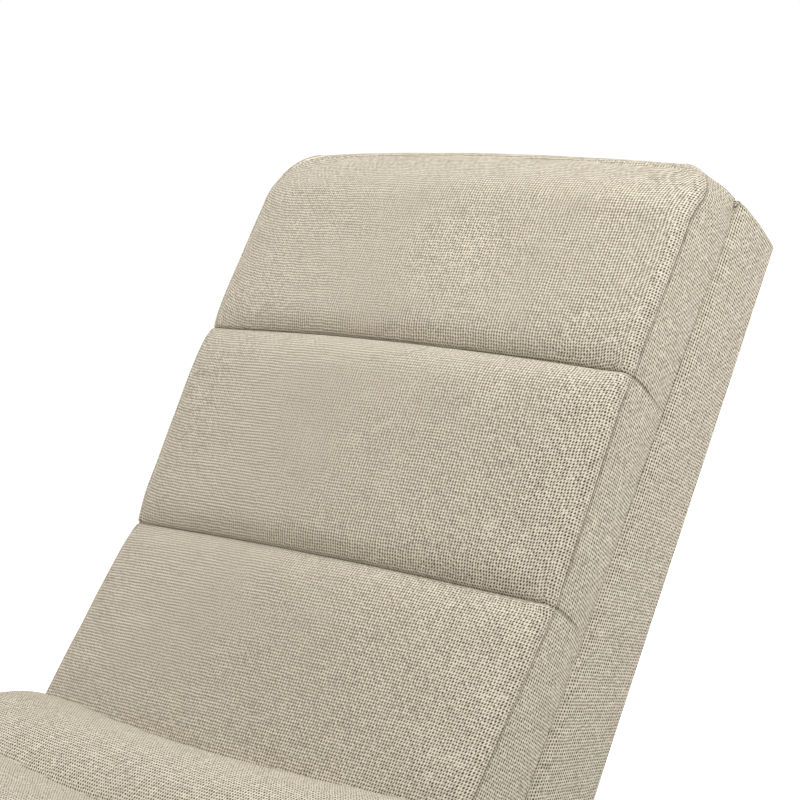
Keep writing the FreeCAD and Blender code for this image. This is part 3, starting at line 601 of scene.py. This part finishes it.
class SeatForm(PadForm):
    """The seat pad, which dips in the middle and rolls up against the back."""

    valley_share = 0.3
    # Less painted seam shade on the seat
    seam_shade = 0.1

    def __init__(self, sizes):
        channels = round((SEAT_END - sizes.first_seam) / sizes.seat_pitch)
        seams = [sizes.first_seam + number * sizes.seat_pitch for number in range(channels)]
        start = sizes.seat_start + PAD_GAP
        super().__init__(on_seat, [sizes.seat_start, *seams], start, SEAT_END, sizes)

    def hollow(self, across):
        """1 in the middle of the pad, easing to 0 at its sides."""
        return 0.5 + 0.5 * np.cos(math.pi * across / HALF_PAD)

    def thickness(self, across, run):
        sizes = self.sizes
        forward = smooth((run - sizes.first_seam) / sizes.seat_pitch)
        level = sizes.seat_depth + (sizes.seat_level - sizes.seat_depth) * forward
        dip = sizes.seat_dip + (sizes.seat_sag - sizes.seat_dip) * forward
        return level - dip * self.hollow(across)

    def rise(self, channel, share, across):
        sizes = self.sizes
        full = sizes.bulge * (self.side(across) + 0.1 * self.middle(across))
        if channel == 0:
            full = 0.75 * sizes.bulge + sizes.seat_dip * self.hollow(across)
        return full * (1 - (2 * share - 1) ** 2)

    def drift(self, across, run):
        sizes = self.sizes
        before = (run - sizes.seat_start) / (sizes.first_seam - sizes.seat_start)
        after = (run - sizes.first_seam) / (SEAT_END - sizes.edge_round - sizes.first_seam)
        return sizes.seat_bow * self.middle(across) * smooth(before) * (1 - smooth(after))


def arc_lengths(places, depths, axis):
    """Lengths along a bent face from its first row or column."""
    steps = np.hypot(np.diff(places, axis=axis), np.diff(depths, axis=axis))
    start = np.zeros_like(np.take(places, [0], axis=axis))
    return np.concatenate([start, np.cumsum(steps, axis=axis)], axis=axis)


class PadFace:
    """The channelled face of a pad, in rows from the junction to its rounded end."""

    def __init__(self, form):
        sizes = form.sizes
        self.corner = sizes.corner_round - sizes.edge_round
        rows = self.channel_rows(form)
        half = HALF_PAD - sizes.edge_round - self.corner + self.corner * np.cos(self.turns)
        self.across = np.linspace(-1, 1, COLUMNS)[None, :] * half[:, None]
        self.run = np.repeat(rows[:, None], COLUMNS, axis=1)
        self.depth = form.depth(self.across, self.run)
        self.index = numbered(self.across.shape)
        pushed = self.run + form.drift(self.across, self.run)
        self.points = form.place(self.across, self.depth, pushed).reshape(-1, 3)
        cloth_across = arc_lengths(self.across, self.depth, 1) - HALF_PAD
        cloth_along = arc_lengths(self.run, self.depth, 0) + form.start
        self.uvs = np.stack([cloth_across, cloth_along], axis=-1).reshape(-1, 2)
        self.shade = np.zeros_like(self.run)
        # Painted shade along each channel seam
        for seam in form.seams[1:]:
            line = np.exp(-((self.run - seam) / (0.7 * sizes.seam_width)) ** 2)
            self.shade = np.maximum(self.shade, form.seam_shade * line)

    def channel_rows(self, form):
        """Runs of the rows, close together at the seams and at the end, where their corners turn."""
        last = form.end - form.sizes.edge_round - self.corner
        seams = [seam for seam in form.seams if seam > form.start + LEAST_CHANNEL]
        bounds = [form.start, *seams, last]
        shares = (1 - np.cos(np.linspace(0, math.pi, ROWS_PER_CHANNEL + 1))) / 2
        rows = [near + (far - near) * shares[:-1] for near, far in zip(bounds, bounds[1:])]
        turn = np.linspace(0, math.pi / 2, CORNER_ROWS)
        self.turns = np.concatenate([np.zeros(ROWS_PER_CHANNEL * len(rows)), turn])
        return np.concatenate([*rows, last + self.corner * np.sin(turn)])


class PadRim:
    """The edge of a pad's face, up one side, across its end and down the other, where the boxing starts."""

    def __init__(self, form, face):
        sizes = form.sizes
        self.form = form
        self.numbers = np.concatenate([face.index[:, 0], face.index[-1, 1:-1], face.index[::-1, -1]])
        self.across = face.across.ravel()[self.numbers]
        self.run = face.run.ravel()[self.numbers]
        self.depth = face.depth.ravel()[self.numbers]
        self.uvs = face.uvs[self.numbers]
        turn = np.concatenate([face.turns, np.full(COLUMNS - 2, math.pi / 2), face.turns[::-1]])
        self.square = 1 / np.maximum(np.sin(turn), np.cos(turn)) - 1
        self.out_across = np.sign(self.across) * np.cos(turn)
        self.out_run = np.sin(turn)
        self.boxing = np.maximum(self.depth - sizes.edge_round - form.floor(self.run), LEAST_BOXING)
        bulge = np.maximum(self.depth - form.thickness(self.across, self.run), 0)
        self.wrap = np.minimum(0.3 * bulge + PANEL_WRAP, 0.4 * self.boxing)
        away = np.min([np.abs(self.run - seam) for seam in form.seams[1:]], axis=0)
        self.near_seam = (1 - smooth(away / SEAM_PULL)) * np.abs(self.out_across)
        self.on_seam = np.exp(-(away / (0.8 * sizes.seam_width)) ** 2) * np.abs(self.out_across)
        edge_across = self.across + (sizes.edge_round + CLOTH_LINE) * self.out_across
        edge_run = self.run + (sizes.edge_round + CLOTH_LINE) * self.out_run
        self.path = np.concatenate([[0], np.cumsum(np.hypot(np.diff(edge_across), np.diff(edge_run)))])

    def downs(self):
        """How far down the boxing its rings lie, close together at the seam."""
        fit = np.minimum(self.boxing / FULL_BOXING, 1)
        downs = [0.4 * self.wrap] + [self.wrap + step * fit for step in SEAM_STEPS]
        return downs + [downs[-1] + (self.boxing - downs[-1]) * share for share in BOXING_SHARES]

    def ring(self, angle, down):
        """A ring's points round the edge or down the boxing, their distance past the seam, and painted
        shade.
        """
        sizes = self.form.sizes
        share = np.minimum(down / self.boxing, 1)
        distance = down - self.wrap + sizes.edge_round * (angle - math.pi / 2)
        seam = np.exp(-(distance / (0.38 * sizes.seam_width)) ** 2)
        out = sizes.edge_round * math.sin(angle) - 0.8 * sizes.seam_depth * seam
        out = out + sizes.side_swell * np.sin(math.pi * share) ** 0.8
        out = out - sizes.side_tuck * (1 - 0.7 * self.out_run) * smooth((share - 0.6) / 0.4)
        out = out - sizes.top_taper * self.out_run * share
        out = out + sizes.corner_fill * sizes.corner_round * self.square * share
        reach = np.clip(distance / SEAM_RUN, 0, 1)
        fade = 1 - smooth((reach - 0.3) / 0.7)
        out = out - (SEAM_SINK * self.on_seam + SEAM_HOLLOW * self.near_seam ** 4) * fade
        bend = SEAM_BEND * self.near_seam * reach ** 2
        depth = self.depth - sizes.edge_round * (1 - math.cos(angle)) - down
        run = self.run + self.form.drift(self.across, self.run) + out * self.out_run - bend
        points = self.form.place(self.across + out * self.out_across, depth, run)
        # Painted shade along the seam of the boxing and where the channel seams meet it
        return points, distance, np.maximum(seam, 0.45 * self.on_seam * fade * (distance > 0))


def channelled_pad(name, form):
    """One closed pad: a channelled face, boxing round three sides with its seam, and a flat underside."""
    face = PadFace(form)
    rim = PadRim(form, face)
    points, uvs, shades = [face.points], [face.uvs], [face.shade.ravel()]
    faces = grid_faces(face.index)
    rings = [rim.numbers]
    steps = [(angle, 0.0) for angle in ROUND_ANGLES] + [(math.pi / 2, down) for down in rim.downs()]
    for number, (angle, down) in enumerate(steps):
        ring, distance, shade = rim.ring(angle, down)
        points.append(ring)
        shades.append(shade)
        if number <= SEAM_RING:
            arc = form.sizes.edge_round * angle + down
            uvs.append(rim.uvs + np.stack([arc * rim.out_across, arc * rim.out_run], axis=-1))
        else:
            uvs.append(np.stack([distance + BOXING_CUT, rim.path], axis=-1))
        rings.append(face.index.size + number * len(ring) + np.arange(len(ring)))
        faces += grid_faces(np.stack(rings[-2:]))
    count = len(face.index)
    last = rings[-1]
    faces += grid_faces(np.stack([last[:count], last[::-1][:count]]))
    end = last[count - 1:len(last) - count + 1]
    start = [*face.index[0], *[ring[-1] for ring in rings[1:]], *[ring[0] for ring in rings[:0:-1]]]
    faces += [tuple(int(number) for number in border) for border in (end, start)]
    piece = mesh_piece(name, np.concatenate(points), faces, np.concatenate(uvs), np.concatenate(shades))
    face_outwards(piece)
    return piece


# Covers of the frame and filling, lengths in metres

OUTSIDE_INSET = 0.006
OUTSIDE_MARGIN = 0.004
OUTSIDE_LIFT = 0.0005
OUTSIDE_BORDER = 0.002
DUST_CLOTH = 0.0006
DUST_LIFT = 0.0002
PLATE_GAP = 0.0008
FOAM_ROUND = 0.004
STRAP = 0.0016
STRAP_DEPTH = 0.001
UP_STEPS = 120
ACROSS_STEPS = 60
ROUND_STEPS = 7
LEAST_ROUND = 0.0003
BAND_CUT = 0.3


def profile(depth, sizes, end):
    """Cross-section of a covered frame edge from front to rear; end is 0 at a side and 1 at the end."""
    front, rear = sizes.front_round, sizes.rear_round
    turn = np.linspace(0, math.pi / 2, ROUND_STEPS)
    flat = np.linspace(0, 1, 15)[1:-1]
    draw = sizes.front_draw * (1 - 0.6 * end)
    slope = np.linspace(0, 1, 8)
    insets = [np.linspace(sizes.turn_in, draw, 4)[:-1], draw * (1 - smooth(slope))]
    depths = [np.zeros(3), front * slope]
    insets.append(-sizes.swell * np.sin(math.pi * flat))
    depths.append(front + (depth - front - rear) * flat)
    insets.append(rear * (1 - np.cos(turn)))
    depths.append(depth - rear + rear * np.sin(turn))
    insets.append(np.linspace(rear, sizes.turn_in, 4)[1:])
    depths.append(np.full(3, depth))
    return np.concatenate(insets), np.concatenate(depths)


def frame_path():
    """Steps up one side, across the end and down again: side, share of the way up, turn, place across."""
    turn = np.linspace(0, math.pi / 2, ROUND_STEPS)[1:]
    ups = np.linspace(0, 1, UP_STEPS)
    left = [(-1, share, 0.0, None) for share in ups] + [(-1, 1.0, angle, None) for angle in turn]
    middle = [(0, 1.0, 0.0, place) for place in np.linspace(-1, 1, ACROSS_STEPS)[1:-1]]
    right = [(1, share, angle, place) for side, share, angle, place in reversed(left)]
    return left + middle + right


def around(step, insets, half, rounding):
    """Place across and shortfall from the end of one step of the path, for a cross-section's insets."""
    side, share, angle, place = step
    reach = np.maximum(rounding, insets)
    small = np.maximum(rounding - insets, LEAST_ROUND)
    if place is not None:
        return place * (half - reach), insets
    if angle == 0:
        return side * (half - insets), reach
    return side * (half - reach + small * math.cos(angle)), reach - small * math.sin(angle)


def sweep(name, position, depth_of, sizes):
    """A cloth band round the frame: its cross-section taken along the path."""
    rings, uvs = [], []
    path = 0.0
    for step in frame_path():
        side, share, angle, place = step
        end = math.sin(angle) if place is None else 1.0
        insets, depths = profile(depth_of(share), sizes, end)
        across, short = around(step, insets, HALF_WIDTH, sizes.corner_round)
        ring = position(share, across, short, depths)
        middle = len(ring) // 2
        if rings:
            path += float(np.linalg.norm(ring[middle] - rings[-1][middle]))
        lengths = np.concatenate([[0], np.cumsum(np.linalg.norm(np.diff(ring, axis=0), axis=1))])
        rings.append(ring)
        uvs.append(np.stack([lengths + BAND_CUT, np.full(len(lengths), path)], axis=-1))
    points = np.concatenate(rings)
    faces = grid_faces(numbered((len(rings), len(rings[0]))))
    return mesh_piece(name, points, faces, np.concatenate(uvs), np.zeros(len(points)))


def leg_centres():
    """Places of the legs across and along."""
    centres = []
    for node in LEGS:
        low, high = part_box(node)
        middle = (low + high) / 2
        centres.append((middle.x, middle.y))
    return centres


def window_lines(start, stop, centres, reach, step):
    """Lines of a sheet from start to stop, some of them on the edges of its openings."""
    marks = sorted({start, stop, *[c - reach for c in centres], *[c + reach for c in centres]})
    lines = []
    for first, second in zip(marks, marks[1:]):
        parts = max(1, round((second - first) / step))
        lines += [first + (second - first) * part / parts for part in range(parts)]
    return np.array(lines + [stop])


# Operators

class CHAISE_OT_back_pad(bpy.types.Operator):
    """Sews the channelled back pad"""

    bl_idname = "chaise.back_pad"
    bl_label = "Back pad"

    def execute(self, context):
        piece = channelled_pad("back_pad", BackForm(context.scene.chaise_pads))
        finish_piece(piece, "upholstery", ["back_pad_cover"])
        return {"FINISHED"}


class CHAISE_OT_seat_pad(bpy.types.Operator):
    """Sews the channelled seat pad"""

    bl_idname = "chaise.seat_pad"
    bl_label = "Seat pad"

    def execute(self, context):
        piece = channelled_pad("seat_pad", SeatForm(context.scene.chaise_pads))
        finish_piece(piece, "upholstery", ["seat_pad_cover"])
        return {"FINISHED"}


class CHAISE_OT_frame_covers(bpy.types.Operator):
    """Covers the back frame and the seat frame with cloth"""

    bl_idname = "chaise.frame_covers"
    bl_label = "Frame covers"

    def execute(self, context):
        sizes = context.scene.chaise_covers
        slope = sizes.frame_fall / BACK_TOP_DEPTH
        wadding = sizes.front_wadding + sizes.rear_wadding
        seat_length = JUNCTION - FOOT_END

        def back_depth(share):
            return back_depth_at(share) + wadding

        def on_back_frame(share, across, short, depths):
            behind = depths - sizes.front_wadding
            low = FRAME_FOOT + behind * SINE / COSINE
            high = sizes.frame_end - behind * slope
            return on_back(across, -behind, low + share * (high - low - short))

        def seat_depth(share):
            return DECK - UNDERSIDE

        def on_seat_frame(share, across, short, depths):
            rear = depths * SINE / COSINE
            return on_seat(across, -depths, rear + share * (seat_length - rear - short))

        back_nodes = ["back_side_cover_left", "back_side_cover_right", "back_top_cover"]
        seat_nodes = ["seat_front_cover", "seat_side_cover_left", "seat_side_cover_right"]
        for name, position, depth_of, nodes in (
            ("back_frame_cover", on_back_frame, back_depth, back_nodes),
            ("seat_frame_cover", on_seat_frame, seat_depth, seat_nodes),
        ):
            band = sweep(name, position, depth_of, sizes)
            thicken(band, sizes.cloth)
            finish_piece(band, "upholstery", nodes)
        return {"FINISHED"}


class CHAISE_OT_outside_back(bpy.types.Operator):
    """Stretches the outside back over the back panel"""

    bl_idname = "chaise.outside_back"
    bl_label = "Outside back"

    def execute(self, context):
        sizes = context.scene.chaise_covers
        half = HALF_WIDTH - OUTSIDE_INSET
        side, share = np.meshgrid(np.linspace(-1, 1, 120), np.linspace(0, 1, 160))
        low = FRAME_FOOT + BACK_BOTTOM_DEPTH * SINE / COSINE + OUTSIDE_MARGIN
        high = sizes.frame_end - sizes.frame_fall - OUTSIDE_MARGIN
        run = low + share * (high - low)
        edge = np.minimum(np.minimum(1 - np.abs(side), 2 * share), 2 - 2 * share)
        swell = sizes.swell * smooth(edge / 0.25)
        border = OUTSIDE_BORDER * (1 - quarter(edge / 0.02))
        behind = back_depth_at(share) + sizes.rear_wadding + OUTSIDE_LIFT + swell - border
        points = on_back(side * half, -behind, run).reshape(-1, 3)
        uvs = np.stack([side * half, run], axis=-1).reshape(-1, 2)
        faces = grid_faces(numbered(side.shape), flip=True)
        piece = mesh_piece("outside_back", points, faces, uvs, np.zeros(len(points)))
        thicken(piece, sizes.cloth)
        finish_piece(piece, "upholstery", ["outside_back_cover"])
        return {"FINISHED"}


class CHAISE_OT_dust_cover(bpy.types.Operator):
    """Staples the dust cover under the frame"""

    bl_idname = "chaise.dust_cover"
    bl_label = "Dust cover"

    def execute(self, context):
        sizes = context.scene.chaise_covers
        low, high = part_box("dust_cover")
        centres = leg_centres()
        plate_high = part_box("leg_plates")[1]
        reach = (plate_high.x - max(x for x, y in centres)) + PLATE_GAP
        across = window_lines(low.x, high.x, {x for x, y in centres}, reach, 0.02)
        along = window_lines(low.y, high.y, {y for x, y in centres}, reach, 0.025)
        spots_x, spots_y = np.meshgrid(across, along)
        share_x = np.clip((spots_x - low.x) / (high.x - low.x), 0, 1)
        share_y = np.clip((spots_y - low.y) / (high.y - low.y), 0, 1)
        sag = np.sin(math.pi * share_x) * np.abs(np.sin(3 * math.pi * share_y)) ** 0.7
        for x, y in centres:
            gap_x = np.maximum(np.abs(spots_x - x) - reach, 0)
            gap_y = np.maximum(np.abs(spots_y - y) - reach, 0)
            sag = sag * smooth(np.hypot(gap_x, gap_y) / 0.05)
        spots_z = high.z - DUST_LIFT - sizes.dust_sag * sag
        points = np.stack([spots_x, spots_y, spots_z], axis=-1).reshape(-1, 3)
        faces = []
        for face in grid_faces(numbered(spots_x.shape)):
            x, y = points[list(face), :2].mean(axis=0)
            if not any(abs(x - leg_x) < reach and abs(y - leg_y) < reach for leg_x, leg_y in centres):
                faces.append(face)
        piece = mesh_piece("dust_cloth", points, faces, points[:, :2])
        edit_all(piece)
        bpy.ops.mesh.delete_loose()
        bpy.ops.object.mode_set(mode="OBJECT")
        thicken(piece, DUST_CLOTH)
        finish_piece(piece, "dust cloth", ["dust_cover"])
        return {"FINISHED"}


class CHAISE_OT_legs(bpy.types.Operator):
    """Shapes the four tapered wooden legs"""

    bl_idname = "chaise.legs"
    bl_label = "Legs"

    def execute(self, context):
        for node in LEGS:
            low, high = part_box(node)
            middle = (low + high) / 2
            bpy.ops.object.select_all(action="DESELECT")
            bpy.ops.mesh.primitive_cube_add(size=1, location=middle, scale=tuple(high - low))
            piece = context.object
            piece.name = node + "_wood"
            bpy.ops.object.transform_apply(location=True, rotation=True, scale=True)
            foot = [corner.x for corner in corners_of(node) if corner.z < low.z + 1e-5]
            taper = (max(foot) - min(foot)) / (high.x - low.x)
            for vertex in piece.data.vertices:
                if vertex.co.z < middle.z:
                    vertex.co.x = middle.x + (vertex.co.x - middle.x) * taper
                    vertex.co.y = middle.y + (vertex.co.y - middle.y) * taper
            round_edges(piece, context.scene.chaise_covers.leg_round, 4)
            bpy.ops.object.shade_smooth_by_angle(angle=math.radians(30))
            finish_piece(piece, "leg wood", [node])
        return {"FINISHED"}


class CHAISE_OT_filling(bpy.types.Operator):
    """Puts the foam blocks inside the pads"""

    bl_idname = "chaise.filling"
    bl_label = "Foam blocks"

    def execute(self, context):
        for node in ("seat_foam_core", "back_foam_core"):
            source = frame["nodes"][node]
            piece = source.copy()
            piece.data = source.data.copy()
            piece.parent = None
            for key in list(piece.keys()):
                del piece[key]
            piece.name = node.replace("_core", "_block")
            context.scene.collection.objects.link(piece)
            edit_all(piece)
            bpy.ops.mesh.remove_doubles(threshold=1e-5)
            bpy.ops.mesh.dissolve_limited(angle_limit=math.radians(1))
            bpy.ops.object.mode_set(mode="OBJECT")
            round_edges(piece, FOAM_ROUND, 3)
            finish_piece(piece, "foam", [node])
        return {"FINISHED"}


class CHAISE_OT_webbing(bpy.types.Operator):
    """Stretches the webbing straps over the frame"""

    bl_idname = "chaise.webbing"
    bl_label = "Webbing"

    def execute(self, context):
        for node, place, run_of in (
            ("seat_webbing", on_seat, run_along_seat),
            ("back_webbing", on_back, run_up_back),
        ):
            low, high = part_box(node)
            edges = sorted({round(run_of(corner), 4) for corner in corners_of(node)})
            points, faces, uvs = [], [], []
            for first, second in zip(edges[::2], edges[1::2]):
                across, run = np.meshgrid(np.linspace(low.x, high.x, 60), np.linspace(first, second, 8))
                faces += grid_faces(numbered(across.shape, len(points) * across.size))
                points.append(place(across, np.full_like(across, -STRAP_DEPTH), run).reshape(-1, 3))
                uvs.append(np.stack([across, run], axis=-1).reshape(-1, 2))
            piece = mesh_piece(node + "_straps", np.concatenate(points), faces, np.concatenate(uvs))
            thicken(piece, STRAP, offset=0)
            finish_piece(piece, "webbing", [node])
        return {"FINISHED"}


class CHAISE_OT_finishes(bpy.types.Operator):
    """Makes the materials and gives them to the boards, the hardware and the glides"""

    bl_idname = "chaise.finishes"
    bl_label = "Finishes"

    def execute(self, context):
        finish = context.scene.chaise_finish
        woven_cloth("upholstery", finish)
        grained_wood("leg wood", finish.leg_light, finish.leg_dark, 2, 60)
        speckled("foam", (0.85, 0.80, 0.62), (0.70, 0.64, 0.46), 900, 0.9, relief=0.001)
        speckled("dust cloth", (0.030, 0.030, 0.032), (0.014, 0.014, 0.015), 2500, 0.9)
        strap_cloth("webbing")
        pine = []
        for axis in (0, 1, 2):
            pine.append(grained_wood(f"frame wood {axis}", finish.pine_light, finish.pine_dark, axis, 40))
        chosen = {
            "panel_board": speckled("hardboard", (0.36, 0.22, 0.11), (0.22, 0.13, 0.06), 700, 0.7),
            "zinc_steel": speckled("zinc", (0.72, 0.72, 0.70), (0.50, 0.51, 0.52), 300, 0.4, metallic=1.0),
            "glide_nylon": speckled("nylon", (0.60, 0.60, 0.58), (0.50, 0.50, 0.48), 500, 0.5),
        }
        slots = {part["node"]: part["material_slot"] for part in frame["record"]["subparts"]}
        for node, piece in frame["nodes"].items():
            low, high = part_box(node)
            spans = list(high - low)
            chosen["frame_wood"] = pine[spans.index(max(spans))]
            if slots[node] in chosen:
                piece.data.materials.clear()
                piece.data.materials.append(chosen[slots[node]])
        return {"FINISHED"}


# Stage

FLOOR_SIZE = 60
FLOOR_DROP = 0.0002
FLOOR_TONE = (0.82, 0.82, 0.82, 1)
GLOW_START = 0.8
GLOW_END = 1.7
GLOW = 0.8
WHITE = (1, 1, 1, 1)
ROOM_TONE = (1, 0.955, 0.87, 1)
ROOM_LIGHT = 0.335
LAMP_TONE = (0.98, 0.993, 1)
LAMPS = (
    ("key_light", (-0.3, -0.3, 2.95), (0, 0.3, 0.5), 2.4, 60),
    ("fill_light", (1.35, 0.95, 2.0), (0.27, 0.75, 0.8), 1.0, 19.5),
)
CAMERA_PLACE = (1.3223, -0.975, 0.9613)
CAMERA_TILT = math.radians(90 - 8.717)
CAMERA_TURN = math.radians(40.567)
CAMERA_LENS = 94.51
CAMERA_SENSOR = 36
CAMERA_REACH = 100


def lay_floor():
    """A pale floor that turns white away from the chaise."""
    bpy.ops.object.select_all(action="DESELECT")
    bpy.ops.mesh.primitive_plane_add(size=FLOOR_SIZE, location=(0, 0, -FLOOR_DROP))
    floor = bpy.context.object
    floor.name = "studio_floor"
    nodes = MaterialNodes("studio floor")
    place = nodes.add("ShaderNodeTexCoord", {}, "Object")
    away = nodes.add("ShaderNodeVectorMath", {0: place}, "Value", operation="LENGTH")
    span = {"Value": away, 1: GLOW_START, 2: GLOW_END, 3: 0.0, 4: GLOW}
    glow = nodes.add("ShaderNodeMapRange", span, interpolation_type="SMOOTHSTEP")
    nodes.put(nodes.shader, {"Base Color": FLOOR_TONE, "Roughness": 0.9})
    nodes.put(nodes.shader, {"Emission Color": WHITE, "Emission Strength": glow})
    floor.data.materials.append(nodes.material)


def light_room(scene):
    """Soft light from all round, in front of a white backdrop."""
    world = scene.world or bpy.data.worlds.new("studio")
    scene.world = world
    world.use_nodes = True
    nodes, links = world.node_tree.nodes, world.node_tree.links
    room = nodes["Background"]
    room.inputs[0].default_value = ROOM_TONE
    room.inputs[1].default_value = ROOM_LIGHT
    backdrop = nodes.new("ShaderNodeBackground")
    backdrop.inputs[0].default_value = WHITE
    seen = nodes.new("ShaderNodeMixShader")
    links.new(nodes.new("ShaderNodeLightPath").outputs["Is Camera Ray"], seen.inputs[0])
    links.new(room.outputs[0], seen.inputs[1])
    links.new(backdrop.outputs[0], seen.inputs[2])
    links.new(seen.outputs[0], nodes["World Output"].inputs[0])


def hang_lamps(scene):
    """Large lamps from above and from the side."""
    for name, place, target, size, power in LAMPS:
        light = bpy.data.lights.new(name, "AREA")
        light.size = size
        light.energy = power
        light.color = LAMP_TONE
        lamp = bpy.data.objects.new(name, light)
        lamp.location = place
        lamp.rotation_euler = (Vector(target) - Vector(place)).to_track_quat("-Z", "Y").to_euler()
        scene.collection.objects.link(lamp)


def set_camera(scene):
    """The camera at the photograph's viewing angle."""
    camera = bpy.data.cameras.new("photo_camera")
    camera.lens = CAMERA_LENS
    camera.sensor_width = CAMERA_SENSOR
    camera.clip_end = CAMERA_REACH
    view = bpy.data.objects.new("photo_camera", camera)
    view.location = CAMERA_PLACE
    view.rotation_euler = (CAMERA_TILT, 0, CAMERA_TURN)
    scene.collection.objects.link(view)
    scene.camera = view


class CHAISE_OT_stage(bpy.types.Operator):
    """Sets the floor, the light and the camera"""

    bl_idname = "chaise.stage"
    bl_label = "Stage"

    def execute(self, context):
        lay_floor()
        light_room(context.scene)
        hang_lamps(context.scene)
        context.scene.view_settings.view_transform = "Standard"
        set_camera(context.scene)
        return {"FINISHED"}


class CHAISE_PT_panel(bpy.types.Panel):
    """Lists the steps that upholster the chaise"""

    bl_idname = "CHAISE_PT_panel"
    bl_label = "Chaise longue"
    bl_space_type = "VIEW_3D"
    bl_region_type = "UI"
    bl_category = "Chaise"

    def draw(self, context):
        for operator in OPERATORS:
            self.layout.operator(operator.bl_idname)


OPERATORS = (
    CHAISE_OT_finishes,
    CHAISE_OT_back_pad,
    CHAISE_OT_seat_pad,
    CHAISE_OT_frame_covers,
    CHAISE_OT_outside_back,
    CHAISE_OT_dust_cover,
    CHAISE_OT_legs,
    CHAISE_OT_filling,
    CHAISE_OT_webbing,
    CHAISE_OT_stage,
)
GROUPS = (("chaise_pads", PadSizes), ("chaise_covers", CoverSizes), ("chaise_finish", Finish))


def register():
    for name, group in GROUPS:
        bpy.utils.register_class(group)
        setattr(bpy.types.Scene, name, PointerProperty(type=group))
    for operator in OPERATORS:
        bpy.utils.register_class(operator)
    bpy.utils.register_class(CHAISE_PT_panel)


def unregister():
    bpy.utils.unregister_class(CHAISE_PT_panel)
    for operator in reversed(OPERATORS):
        bpy.utils.unregister_class(operator)
    for name, group in reversed(GROUPS):
        delattr(bpy.types.Scene, name)
        bpy.utils.unregister_class(group)


def main():
    """Builds the scene."""
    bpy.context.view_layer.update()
    register()
    for operator in OPERATORS:
        area, step = operator.bl_idname.split(".")
        getattr(getattr(bpy.ops, area), step)()
    bpy.context.view_layer.update()


if __name__ == "__main__":
    main()
